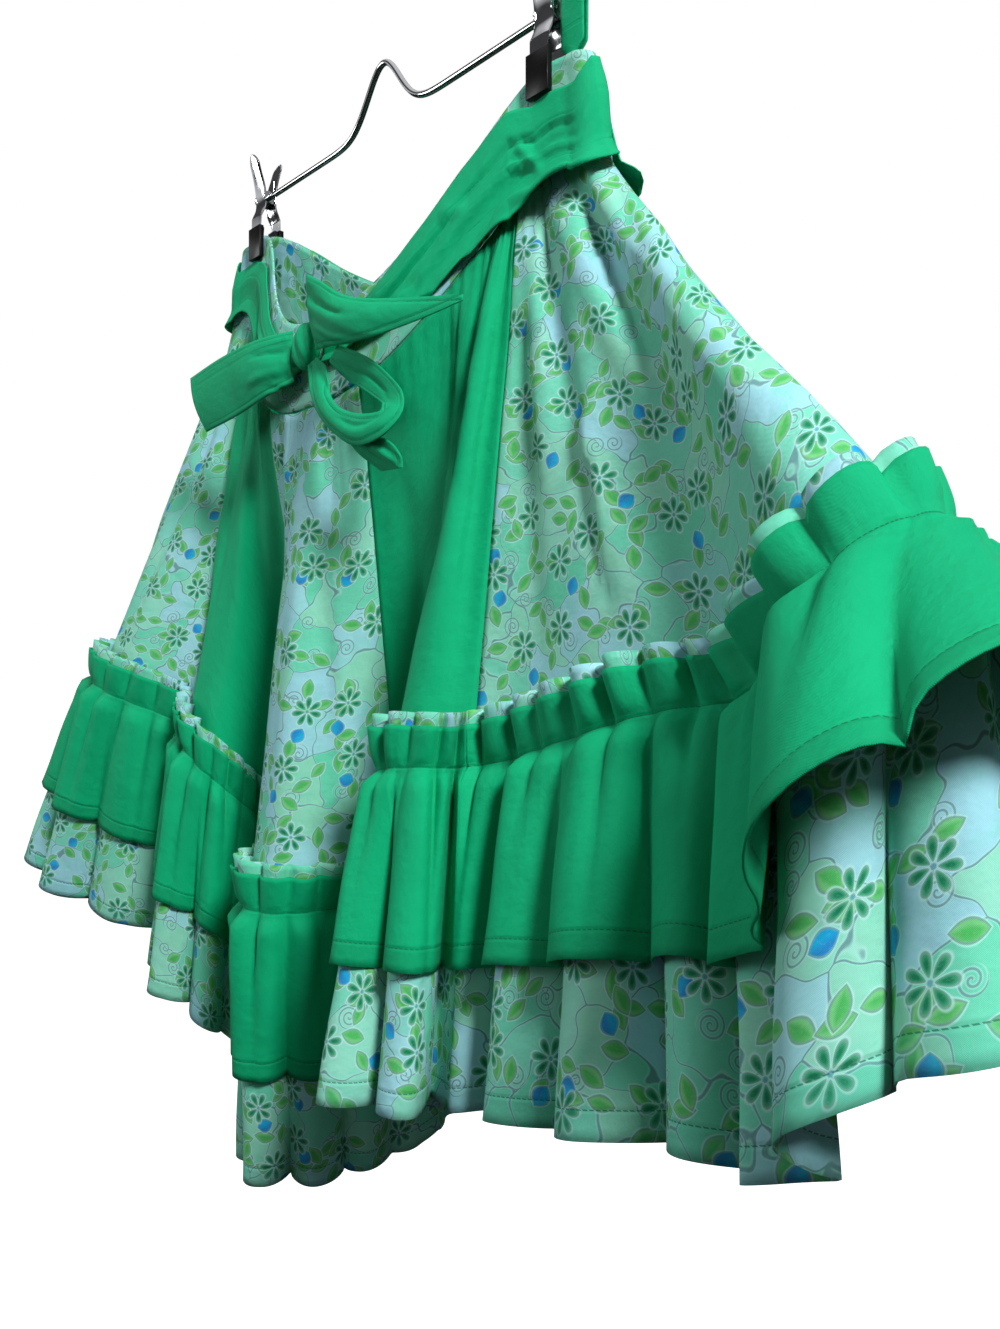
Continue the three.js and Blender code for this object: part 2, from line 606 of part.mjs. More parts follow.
function makeWire() {
  const points = [];
  const rise = (x) => HUMP_RISE * Math.exp(-((x / HUMP_WIDTH) ** 2));
  for (const x of WIRE_STOPS) points.push(vec(x, 0, WIRE_R - HUMP_RISE));
  for (let x = -HUMP_STOPS.end; x <= HUMP_STOPS.end; x += HUMP_STOPS.step) {
    points.push(vec(x, 0, WIRE_R - HUMP_RISE + rise(x)));
  }
  for (const x of [...WIRE_STOPS].reverse()) points.push(vec(-x, 0, WIRE_R - HUMP_RISE));
  const curve = new THREE.CatmullRomCurve3(points);
  const section = new THREE.Shape();
  for (let k = 0; k < WIRE_SIDES; k++) {
    const angle = 2 * Math.PI * (k + 0.5) / WIRE_SIDES;
    const method = k ? 'lineTo' : 'moveTo';
    section[method](WIRE_R * Math.cos(angle), WIRE_R * Math.sin(angle));
  }
  const sweep = { steps: WIRE_STEPS, extrudePath: curve, bevelEnabled: false };
  add('hanger_wire', new THREE.ExtrudeGeometry(section, sweep), chrome());
}

// A clip's jaw, seen along the bar: a pressed plate, splayed at the handle and closed at the tip,
// with an ear each side that rides on the wire.
const JAW = { wide: 14, plate: 1, ear: 0.8, earOut: 4.4, hole: WIRE_R + GAP };
const BRIDGE = { deep: 3.4, high: 7, y: 3.6 };      // joins an ear to the plate
const FAR_SIDE = { size: 10, y: -9.1 };             // cut off the ears, for the other jaw's plate
const JAW_LINE = [
  // distance from the clip's middle plane, height from the wire
  [11.5, 30],
  [8.5, 20],
  [5.0, 6],
  [4.6, -6],
  [7.4, -14],
  [8.0, -18],
  [8.0, -44],
];
// A jaw's sleeve: the pad that grips the cloth, the sleeve round the plate, and the room in it.
const TIP = { wide: 10, outside: 7.65, top: -23, bottom: -46.4, clear: 1.1 };
const SLEEVE = { wide: 16.4, inside: 6.6, outside: 10.2 };
const POCKET = { wide: 14.7, inside: 7.65, outside: 9.35, bottom: -44.4 };
const EAR_SIDES = 10;
const HOLE_SIDES = 8;

// A box by its sizes and its centre.
function box(wide, deep, high, x, y, z) {
  const geometry = new THREE.BoxGeometry(wide, deep, high);
  geometry.translate(x, y, z);
  return geometry;
}

// A box between two distances from the clip's middle plane and two heights from the wire.
const layer = ({ wide, inside, outside }, bottom, top) =>
  box(wide, outside - inside, top - bottom, 0, (outside + inside) / 2, (top + bottom) / 2);

function makeClip(name, x) {
  const z = WIRE_R - HUMP_RISE;
  ['front', 'back'].forEach((face, k) => {
    const side = k ? 1 : -1;
    const outline = new THREE.Shape();
    const outer = JAW_LINE.map(([y, h]) => [y + JAW.plate, h]);
    [...JAW_LINE, ...outer.reverse()].forEach(([y, h], i) => outline[i ? 'lineTo' : 'moveTo'](y, h));
    const plate = new THREE.ExtrudeGeometry(outline, { depth: JAW.wide, bevelEnabled: false });
    plate.translate(0, 0, -JAW.wide / 2);
    plate.applyMatrix4(new THREE.Matrix4().makeBasis(vec(0, 1, 0), vec(0, 0, 1), vec(1, 0, 0)));
    let jaw = toSolid(plate);
    const inset = k ? JAW.ear + GAP : 0;
    for (const end of [-1, 1]) {
      const at = end * (JAW.wide / 2 - JAW.ear / 2 - inset);
      const ear = new THREE.CylinderGeometry(JAW.earOut, JAW.earOut, JAW.ear, EAR_SIDES);
      ear.rotateZ(Math.PI / 2);
      ear.translate(at, 0, 0);
      const bridge = box(JAW.ear, BRIDGE.deep, BRIDGE.high, at, BRIDGE.y, 0);
      jaw = jaw.add(toSolid(ear)).add(toSolid(bridge));
    }
    const hole = new THREE.CylinderGeometry(JAW.hole, JAW.hole, 2 * JAW.wide, HOLE_SIDES);
    hole.rotateZ(Math.PI / 2);
    jaw = jaw.subtract(toSolid(hole));
    const farSide = box(2 * JAW.wide, FAR_SIDE.size, FAR_SIDE.size, 0, FAR_SIDE.y, 0);
    jaw = jaw.subtract(toSolid(farSide));
    const geometry = toGeometry(jaw);
    if (side < 0) geometry.rotateZ(Math.PI);
    geometry.translate(x, 0, z);
    add(`${name}_jaw_${face}`, geometry, chrome());
    const clothFace = (h) => {
      const depth = Math.max(WAIST_Z - z - h, 0);
      return PINCH + PINCH_SPREAD * SEAM_SPREAD * depth / BAND + BAND_CLOTH / 2 + TIP.clear;
    };
    const wedge = new THREE.Shape([
      new THREE.Vector2(clothFace(TIP.top), TIP.top),
      new THREE.Vector2(clothFace(TIP.bottom), TIP.bottom),
      new THREE.Vector2(TIP.outside, TIP.bottom),
      new THREE.Vector2(TIP.outside, TIP.top),
    ]);
    const pad = new THREE.ExtrudeGeometry(wedge, { depth: TIP.wide, bevelEnabled: false });
    pad.translate(0, 0, -TIP.wide / 2);
    pad.applyMatrix4(new THREE.Matrix4().makeBasis(vec(0, 1, 0), vec(0, 0, 1), vec(1, 0, 0)));
    const sleeve = layer(SLEEVE, TIP.bottom, TIP.top);
    const pocket = layer(POCKET, POCKET.bottom, 2 * TIP.top - POCKET.bottom);
    const tip = toGeometry(toSolid(pad).add(toSolid(sleeve)).subtract(toSolid(pocket)));
    if (side < 0) tip.rotateZ(Math.PI);
    tip.translate(x, 0, z);
    add(`${name}_tip_${face}`, tip, vinyl());
  });
}

makeWire();
makeClip('clip_left', -CLIP_X);
makeClip('clip_right', CLIP_X);
makeWaistband();
makeGores();
makeFlounce('flounce_print', printCloth, PRINT_ROWS, printStandOff, () => 0);
makeFlounce('flounce_green', greenCloth, GREEN_ROWS, greenStandOff, greenLift);
makeSash('sash_right', SASH_RIGHT, SASH_FOLDS);
makeSash('sash_left', SASH_LEFT, SASH_FOLDS);
makeSash('sash_back', SASH_BACK, SASH_BACK_FOLDS);
makeKnot();
ribbon('bow_left_tail', LEFT_TAIL);
ribbon('bow_pointed_loop', POINTED_LOOP);
ribbon('bow_hanging_loop', HANGING_LOOP, 30);
ribbon('bow_short_tail', SHORT_TAIL, 8);
makeStrap();

export default skirt;
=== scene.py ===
# A square dance skirt on a clip hanger: the cloth as thin shells on its solids' form, with its
# print, stitching and creases, and the hanger's chrome and vinyl. The frame is in metres; the
# skirt's own sizes and tables below are in millimetres, and MM turns them into metres.
import math

import bmesh
import bpy
import numpy as np
from mathutils import Matrix, Vector


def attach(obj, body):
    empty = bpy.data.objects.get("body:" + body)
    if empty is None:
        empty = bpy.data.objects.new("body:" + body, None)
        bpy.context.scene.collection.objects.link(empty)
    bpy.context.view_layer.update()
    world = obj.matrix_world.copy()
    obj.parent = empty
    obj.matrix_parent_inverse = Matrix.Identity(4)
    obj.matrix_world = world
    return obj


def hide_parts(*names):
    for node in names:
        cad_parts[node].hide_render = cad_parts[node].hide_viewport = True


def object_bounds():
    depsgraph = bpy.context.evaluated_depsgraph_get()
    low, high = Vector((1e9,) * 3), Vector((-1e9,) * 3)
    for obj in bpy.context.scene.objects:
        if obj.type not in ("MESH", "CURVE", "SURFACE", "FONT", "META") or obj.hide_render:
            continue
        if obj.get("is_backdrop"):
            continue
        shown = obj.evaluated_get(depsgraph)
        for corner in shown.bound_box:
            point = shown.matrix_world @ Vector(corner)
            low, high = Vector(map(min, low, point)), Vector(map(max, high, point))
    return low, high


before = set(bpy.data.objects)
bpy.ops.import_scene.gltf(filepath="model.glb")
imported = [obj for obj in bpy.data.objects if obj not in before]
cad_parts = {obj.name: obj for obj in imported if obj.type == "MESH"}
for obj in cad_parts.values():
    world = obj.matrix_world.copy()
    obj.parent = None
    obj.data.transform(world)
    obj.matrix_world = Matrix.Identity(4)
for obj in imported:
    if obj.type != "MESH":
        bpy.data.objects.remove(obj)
CAD_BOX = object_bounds()
MM = 0.001

# ---- the skirt's sizes, as in its solids ----
WIRE_R, HUMP_RISE, HUMP_WIDTH, CLIP_X, WIRE_END = 2, 38.5, 23.85, 150, 7.5
BAR_Z = WIRE_R - HUMP_RISE
WAIST_Z = -64.5
BAND, SEAM_DROP, GORE = 60, 57.5, 300
PRINT_FLOUNCE, GREEN_FLOUNCE, PRINT_HEADING, GREEN_HEADING = 161, 97, 28, 21
SEAM_GAP = 1.1
FRONT_HALF, LOOP, BACK_HALF = 191, 64, 168
WAIST = 2 * (FRONT_HALF + LOOP + BACK_HALF)
PINCH, LOOP_OUT, LOOP_PUFF, LOOP_FLAT, LOOP_DROOP, LOOP_MIDDLE = 2.4, 31, 7, 0.35, 6, 2.11
FRONT_DROOP, BACK_DROOP, FRONT_BULGE, BACK_BULGE = 106, 62, 42, 34
SEAM_SPREAD, PINCH_SPREAD, BULGE_SPREAD, LOOP_SPREAD = 16, 0.35, 0.3, 0.4
FRONT_SAG, BACK_SAG, SAG_EASE = 1.35, 1.2, 0.12
GORES, FLUTES = 8, 7
GATHERS = 2 * FLUTES              # gathers of the frill in a gore
COARSE, FINE, FINEST = 14, 56, 140   # columns of points in a gore: solids, cloth and flounces
STEP = FINE // COARSE
WAIST_GATHER, SEAM_GATHER, FLUTE_DEPTH, EASY_ROOM = 1.82, 1.3, 6.38, 8
HEM = 11                          # turned-up hem, to its stitching
SHELL = 0.8                       # cloth in the scene
GORE_NAMES = ("front_print", "front_right_green", "right_print", "back_right_green",
              "back_print", "back_left_green", "left_print", "front_left_green")
SIDES = ("front", "right", "back", "left")

# Folds of the gathered seam, seen from above: place round the waist that the fold hangs from,
# gather line x y, print hem x y, ripple of the flutes, lift of the green hem.
FOLDS = (
    (-0.15, -26, -80, -32, -76, 0.9, 5), (0.10, 6, -86, 0, -78, 0.9, 5),
    (0.28, 22, -48, 20, -42, 0.6, 4), (0.46, 34, -8, 34, -4, 0.35, 3),
    (0.75, 56, 8, 56, 10, 0.3, 3), (1.00, 76, -6, 76, -8, 0.35, 3),
    (1.20, 87, -36, 90, -54, 0.6, 4), (1.36, 99, -68, 108, -102, 0.9, 5),
    (1.43, 123, -72, 136, -100, 1, 5), (1.48, 144, -50, 156, -70, 0.8, 5),
    (1.54, 170, -44, 184, -66, 1, 6), (1.64, 208, -50, 230, -84, 1, 8),
    (1.76, 252, -53, 280, -90, 1, 10), (1.92, 298, -50, 336, -92, 1, 9),
    (2.06, 332, -70, 362, -104, 1, 14), (2.16, 366, -92, 384, -126, 1, 50),
    (2.26, 382, -72, 404, -122, 1, 52), (2.45, 368, -22, 440, -66, 1, 36),
    (2.75, 340, 34, 440, 44, 1, 12), (3.05, 300, 54, 340, 80, 1, 6),
    (3.30, 262, 44, 284, 56, 0.8, 5), (3.50, 232, 54, 245, 66, 0.8, 5),
    (3.62, 202, 74, 210, 92, 1, 5), (3.72, 166, 82, 170, 106, 1, 5),
    (3.82, 130, 72, 134, 86, 1, 5), (3.92, 95, 66, 96, 78, 1, 5),
    (4.05, 60, 82, 60, 100, 1, 5), (4.18, 25, 90, 25, 112, 1, 5),
    (4.30, -10, 78, -12, 92, 1, 5), (4.42, -42, 70, -44, 82, 1, 5),
    (4.50, -70, 80, -72, 98, 1, 5), (4.65, -100, 90, -106, 114, 1, 5),
    (4.82, -132, 82, -142, 102, 1, 5), (5.02, -168, 66, -182, 80, 1, 5),
    (5.25, -215, 66, -240, 84, 1, 5), (5.50, -262, 58, -300, 78, 1, 5),
    (5.75, -298, 24, -354, 34, 1, 6), (6.00, -302, -20, -368, -30, 1, 6),
    (6.13, -284, -58, -346, -82, 1, 6), (6.22, -252, -86, -304, -110, 1, 6),
    (6.31, -214, -90, -256, -106, 1, 5), (6.39, -186, -70, -214, -78, 0.8, 4),
    (6.47, -160, -56, -180, -60, 0.6, 4), (6.60, -134, -70, -148, -80, 0.9, 5),
    (6.80, -108, -66, -118, -76, 0.9, 5), (7.05, -102, -36, -107, -40, 0.4, 3),
    (7.25, -95, -8, -98, -8, 0.2, 2), (7.45, -74, 8, -75, 12, 0.15, 2),
    (7.60, -53, -8, -53, -4, 0.2, 2), (7.73, -45, -44, -46, -40, 0.5, 3),
)
SEAM_ROWS = (3, 9, 17, 21, 30, 35, 42, 47)   # rows at the gore seams 0.5, 1.5 and so on
HANG, X, Y, HEM_X, HEM_Y, RIPPLE, LIFT = range(1, 8)

# Sashes: place round the waist, and the two edges below the band's top edge.
SASHES = {
    "sash_right": (
        (0.16, 17, 36), (0.55, 7, 38), (0.85, 3, 48), (1.16, 2, 60), (1.46, 6, 74), (1.64, 20, 78),
        (1.96, 20, 77), (2.06, 5, 72), (2.15, 3, 66)),
    "sash_left": (
        (-2.18, 3, 60), (-2.06, 5, 61), (-1.96, 20, 61), (-1.64, 20, 58), (-1.34, 10, 52),
        (-0.8, 12, 42), (-0.05, 18, 36)),
    "sash_back": (
        (2.24, 10, 88), (2.28, 21, 92), (2.58, 21, 90), (2.76, 2, 86), (3.15, -2, 70), (4, -3, 58),
        (5, -3, 58), (5.24, 0, 58), (5.42, 21, 59), (5.72, 21, 60), (5.78, 10, 60)),
}
SASH_FOLDS = (2.8, 4.8, 3.0, 5.2)
SASH_BACK_FOLDS = (2.4, 3.4, 3.0)
SASH_FLARE, FLARE_FROM = 0.14, BAND - 10

# Bow: upper edge x y z, lower edge x y z, cup.
BOW = {
    "bow_left_tail": (
        (-9.1, -61, -181, -8.1, -61, -212, 2), (-40, -68, -181, -30, -67, -218, 4),
        (-84, -70, -183, -68, -68, -224, 2), (-131, -69, -187, -111, -67, -227, 3)),
    "bow_pointed_loop": (
        (8, -62, -151, 20, -62.5, -199, 2), (31, -66, -163, 37, -66.5, -202, 4),
        (57, -68.5, -178, 62, -69.5, -206, 6), (84, -68, -187, 90, -69, -208, 4),
        (118, -64, -194, 122, -64.5, -206, 1), (148, -59, -199, 148, -59, -202, 0)),
    "bow_hanging_loop": (
        (9, -61.5, -206, 19, -61.5, -203, 0), (17, -66, -215, 33, -64.5, -211.5, 0),
        (27, -71, -227, 42, -69, -220, -1), (42, -75.5, -242, 50, -73, -232, -2),
        (62.7, -79, -256.4, 67.4, -77, -244, -2.5), (86, -80, -267.5, 88.5, -78.5, -251, -2.5),
        (107.9, -79, -265.7, 103, -77.5, -252, -2), (118.6, -75, -255.7, 101, -74, -247.5, -1),
        (112, -69, -243, 89, -67, -242.5, 0), (96.3, -65.5, -230.3, 67, -63, -231, 0),
        (73, -63, -215, 50, -62, -222, 0), (40, -61, -200, 31, -61, -208, 0)),
    "bow_short_tail": (
        (72, -78.1, -260, 97, -79.5, -262, 0), (80, -74, -270, 109, -74.5, -268, -1.5),
        (89.5, -72.5, -276.5, 115.5, -73, -275.5, -1), (97.5, -72, -281.5, 116, -72, -282, 0)),
}
BOW_STEPS = {"bow_hanging_loop": 150, "bow_short_tail": 50}
KNOT = {"place": (5, -60, -193), "size": (27, 14, 28), "tilt": 0.45}
STRAP = {"x": 168, "half": 8, "foot_half": 3.2, "leg": 1.15, "foot": 9, "rise": 76, "puff": 0.5}
JAW_LINE = ((11.5, 30), (8.5, 20), (5.0, 6), (4.6, -6), (7.4, -14), (8.0, -18), (8.0, -44))


# ---- form ----
def smooth(value, low, high):
    share = np.clip((value - low) / (high - low), 0, 1)
    return share * share * (3 - 2 * share)


def signed(g):
    return np.mod(g + GORES / 2, GORES) - GORES / 2


def uneven(k):
    return 1 + 0.2 * np.sin(2.4 * k + 0.7) + 0.13 * np.sin(5.3 * k)


def points(x, y, z):
    return np.stack(np.broadcast_arrays(x, y, z), axis=-1)


def waist_ring(g, spread, drop):
    """A level ring of the waistband: spread widens it, drop lowers it."""
    side = np.where(signed(g) < 0, -1.0, 1.0)
    s = np.abs(signed(g)) / GORES * WAIST
    half, pinch = CLIP_X + spread, PINCH + PINCH_SPREAD * spread

    def reach(q):
        return half * ((1 + SAG_EASE) * q - SAG_EASE * q ** 3)

    q = np.clip(s / FRONT_HALF, 0, 1)
    sag = (1 + np.cos(np.pi * q ** FRONT_SAG)) / 2
    front = points(side * reach(q), -pinch - (FRONT_BULGE + BULGE_SPREAD * spread) * sag,
                   WAIST_Z - FRONT_DROOP * sag - drop)
    w = np.clip((s - FRONT_HALF) / LOOP, 0, 1)
    out = np.sin(np.pi * w)
    puff = smooth(out, LOOP_FLAT, 1)
    loop = points(side * (half + (LOOP_OUT - LOOP_SPREAD * spread) * out),
                  -(pinch + LOOP_PUFF * puff) * np.cos(np.pi * w),
                  WAIST_Z - LOOP_DROOP * out ** 2 - drop)
    q = np.clip((WAIST / 2 - s) / BACK_HALF, 0, 1)
    sag = (1 + np.cos(np.pi * q ** BACK_SAG)) / 2
    back = points(side * reach(q), pinch + (BACK_BULGE + BULGE_SPREAD * spread) * sag,
                  WAIST_Z - BACK_DROOP * sag - drop)
    s = s[..., None]
    return np.where(s <= FRONT_HALF, front, np.where(s <= FRONT_HALF + LOOP, loop, back))


def place_folds():
    """The folds' places round the skirt, from their chord lengths between gore seams."""
    rows = [(None, *row) for row in FOLDS]
    count = len(rows)
    placed = []
    for k, start in enumerate(SEAM_ROWS):
        stop = SEAM_ROWS[k + 1] if k + 1 < GORES else SEAM_ROWS[0] + count
        chords = [math.dist(rows[i % count][X:Y + 1], rows[(i + 1) % count][X:Y + 1])
                  for i in range(start, stop)]
        run = 0
        for i, chord in zip(range(start, stop), chords):
            row = list(rows[i % count])
            row[0] = (k + 0.5 + run / sum(chords)) % GORES
            row[HANG] = float(signed(row[HANG] - row[0]))
            placed.append(row)
            run += chord
    table = np.array(sorted(placed), float)
    before, after = table.copy(), table.copy()
    before[:, 0] -= GORES
    after[:, 0] += GORES
    return np.concatenate([before, table, after])


TRACK = place_folds()


def track(g, column):
    at = np.mod(g, GORES)
    i = np.searchsorted(TRACK[:, 0], at, side="right") - 1
    before, here, after, beyond = (TRACK[i + k] for k in (-1, 0, 1, 2))
    span = after[..., 0] - here[..., 0]
    slope_here, slope_after = (
        (b[..., column] - a[..., column]) / (b[..., 0] - a[..., 0]) * span
        for a, b in ((before, after), (here, beyond)))
    u = (at - here[..., 0]) / span
    return ((2 * u ** 3 - 3 * u ** 2 + 1) * here[..., column]
            + (u ** 3 - 2 * u ** 2 + u) * slope_here
            + (3 * u ** 2 - 2 * u ** 3) * after[..., column] + (u ** 3 - u ** 2) * slope_after)


def fall(start, x, y, length):
    away = np.hypot(x - start[..., 0], y - start[..., 1])
    drop = np.sqrt(np.maximum(length ** 2 - away ** 2, (0.3 * length) ** 2))
    return points(x, y, start[..., 2] - drop)


def hang(g):
    return g + track(g, HANG)


def waist_seam(w):
    return waist_ring(w, SEAM_SPREAD, SEAM_DROP)


def gather_line(g):
    return fall(waist_seam(hang(g)), track(g, X), track(g, Y), GORE)


def print_hem(g):
    return fall(gather_line(g), track(g, HEM_X), track(g, HEM_Y), PRINT_FLOUNCE)


def body(g, depth):
    """A point of the skirt's body, at a cloth's length below the waistband's top edge."""
    g, depth = np.broadcast_arrays(g, depth)
    share = np.clip(depth / BAND, 0, 1)
    w = hang(g)
    top = waist_ring(w, SEAM_SPREAD * share, SEAM_DROP * share)
    seam = waist_seam(w)
    below = seam + (gather_line(g) - seam) * ((depth - BAND) / GORE)[..., None]
    return np.where((depth <= BAND)[..., None], top, below)


def unit(vectors):
    return vectors / np.maximum(np.linalg.norm(vectors, axis=-1, keepdims=True), 1e-9)


def normals_of(grid, closed=False):
    """Outward normals of a grid of points: rows run down the cloth, columns to the left."""
    if closed:
        across = np.roll(grid, -1, 1) - np.roll(grid, 1, 1)
    else:
        across = np.gradient(grid, axis=1)
    return unit(np.cross(np.gradient(grid, axis=0), across))


def run_along(grid, axis):
    """Length of cloth along a grid's rows or columns, from its first point."""
    steps = np.linalg.norm(np.diff(grid, axis=axis), axis=-1)
    pad = [(0, 0), (0, 0)]
    pad[axis] = (1, 0)
    return np.pad(np.cumsum(steps, axis=axis), pad)


# Creases: from g, depth to g, depth; height (a ridge is above 0), half width.
GORE_CREASES = (
    (1.62, 66, 1.70, 250, 2.6, 7), (1.70, 64, 1.86, 330, -2.4, 8), (1.84, 66, 2.02, 240, 3.0, 8),
    (1.92, 64, 2.16, 300, -2.8, 7), (2.02, 64, 2.28, 210, 2.4, 6), (1.55, 120, 1.66, 340, -1.8, 9),
    (2.10, 90, 2.34, 330, 2.0, 9), (2.30, 130, 2.44, 350, -2.2, 8), (1.78, 180, 1.92, 352, 1.8, 9),
    (1.30, 90, 1.34, 330, 2.0, 6), (1.42, 80, 1.44, 352, -2.2, 6), (1.18, 110, 1.22, 300, -1.6, 7),
    (0.92, 150, 0.98, 350, 1.6, 7), (0.62, 100, 0.66, 320, -1.8, 7),
    (0.12, 140, 0.14, 350, 2.0, 8), (-0.10, 90, -0.12, 340, -2.2, 6),
    (0.30, 120, 0.34, 350, 1.8, 6), (-0.30, 160, -0.34, 352, 1.6, 7),
    (-0.62, 120, -0.70, 330, -1.6, 8), (-0.98, 100, -1.04, 340, 2.2, 7),
    (-1.22, 70, -1.30, 350, -2.4, 7), (-1.40, 100, -1.46, 300, 1.8, 6),
    (-1.58, 70, -1.66, 300, 2.4, 7), (-1.70, 80, -1.80, 350, -2.6, 7),
    (-1.86, 66, -1.98, 320, 2.2, 8), (-2.05, 110, -2.20, 350, -1.8, 8),
    (-2.35, 90, -2.42, 330, 2.0, 8), (2.70, 80, 2.76, 340, 2.2, 8), (2.95, 66, 3.02, 300, -2.6, 8),
    (3.22, 90, 3.26, 350, 2.0, 7), (3.45, 70, 3.44, 280, -1.8, 7), (3.64, 66, 3.66, 330, 2.6, 8),
    (3.84, 80, 3.82, 350, -2.4, 7), (4.02, 66, 4.04, 260, 2.0, 8), (4.20, 100, 4.20, 350, -2.2, 8),
    (4.38, 66, 4.34, 320, 2.2, 7), (4.62, 70, 4.64, 350, -2.0, 8), (4.88, 90, 4.92, 330, 2.4, 8),
    (5.14, 66, 5.20, 300, -2.2, 8), (5.40, 80, 5.44, 350, 2.0, 8), (5.66, 66, 5.72, 320, -2.4, 8),
    (5.90, 90, 5.94, 350, 2.2, 8),
)


CREASE_GAIN = 1.5


def creased(grid, normals, table, start, stop):
    """Moves a grid along its normals by soft ridges and troughs."""
    moved = np.zeros(grid.shape[:2])
    for g0, d0, g1, d1, height, half in table:
        line = body(np.linspace(g0, g1, 9), np.linspace(d0, d1, 9))
        for k in range(8):
            a, b = line[k], line[k + 1]
            along = np.clip(((grid - a) @ (b - a)) / ((b - a) @ (b - a)), 0, 1)
            away = np.linalg.norm(grid - (a + along[..., None] * (b - a)), axis=-1)
            share = (k + along) / 8
            ends = smooth(share, 0, 0.25) * (1 - smooth(share, 0.6, 1))
            best = CREASE_GAIN * height * (np.exp(-(away / half) ** 2) * ends)
            moved = np.where(np.abs(best) > np.abs(moved), best, moved)
    return grid + normals * (moved * smooth(start, 0, 1) * stop)[..., None]


# ---- pieces ----
NO_STITCH = 9.0                   # a stitch value away from any stitching
UV_UNIT = 100                     # mm of cloth in one unit of the UV map


def mesh_from(name, bm):
    mesh = bpy.data.meshes.new(name)
    bm.to_mesh(mesh)
    bm.free()
    return mesh


def put(name, mesh, slot, nodes=(), smooth_faces=True):
    if smooth_faces:
        mesh.shade_smooth()
    mesh.materials.append(MATERIALS[slot])
    piece = bpy.data.objects.new(name, mesh)
    bpy.context.scene.collection.objects.link(piece)
    if nodes:
        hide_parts(*nodes)
    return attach(piece, "root")


def grid_mesh(name, grid):
    """A mesh on a grid of points in mm, and the row and column of each of its vertices."""
    rows, cols = grid.shape[:2]
    bm = bmesh.new()
    bmesh.ops.create_grid(bm, x_segments=cols - 1, y_segments=rows - 1, size=1)
    mesh = mesh_from(name, bm)
    flat = np.zeros(len(mesh.vertices) * 3)
    mesh.vertices.foreach_get("co", flat)
    flat = flat.reshape(-1, 3)
    i = np.rint((1 - flat[:, 1]) / 2 * (rows - 1)).astype(int)
    j = np.rint((flat[:, 0] + 1) / 2 * (cols - 1)).astype(int)
    mesh.vertices.foreach_set("co", (grid[i, j] * MM).ravel())
    return mesh, i, j


def thicken(piece, thickness):
    wall = piece.modifiers.new("wall", "SOLIDIFY")
    wall.thickness = thickness * MM
    wall.offset = 0


def round_edges(piece, width, **settings):
    edge = piece.modifiers.new("rounded edge", "BEVEL")
    edge.width = width * MM
    edge.segments = 2
    for key, value in settings.items():
        setattr(edge, key, value)


def area_of(grid):
    a, b, c, d = grid[:-1, :-1], grid[1:, :-1], grid[1:, 1:], grid[:-1, 1:]
    halves = [np.linalg.norm(np.cross(x - a, y - a), axis=-1) for x, y in ((b, c), (c, d))]
    return sum(halves).sum() / 2


def shell(name, grid, u, v, stitch, slot, nodes, cut, thickness=SHELL):
    """A piece of cloth on a grid of points in mm, with its flat place u v, the distance to its
    stitching and its cut, all in mm. The cut's area is the made cloth's where it tapers."""
    mesh, i, j = grid_mesh(name, grid)
    corners = np.zeros(len(mesh.loops), int)
    mesh.loops.foreach_get("vertex_index", corners)
    u, v, stitch = (np.broadcast_to(x, grid.shape[:2]) for x in (u, v, stitch))
    layer = mesh.uv_layers.new(name="cloth")
    layer.data.foreach_set("uv", (np.stack([u[i, j], v[i, j]], -1)[corners] / UV_UNIT).ravel())
    marks = mesh.attributes.new("stitch", "FLOAT", "POINT")
    marks.data.foreach_set("value", stitch[i, j].astype(np.float32))
    piece = put(name, mesh, slot, nodes)
    thicken(piece, thickness)
    area = min(area_of(grid), cut[0] * cut[1])


def ring_points(per_gore):
    return np.arange(GORES * per_gore) / per_gore - 0.5


def take(array, first, last):
    return np.take(array, np.arange(first, last + 1), axis=1, mode="wrap")


def away_from_loops(g):
    """Calms the gathers where the waistband is looped round a clip."""
    return smooth(np.abs(np.abs(signed(hang(g))) - LOOP_MIDDLE), 0.2, 0.6)


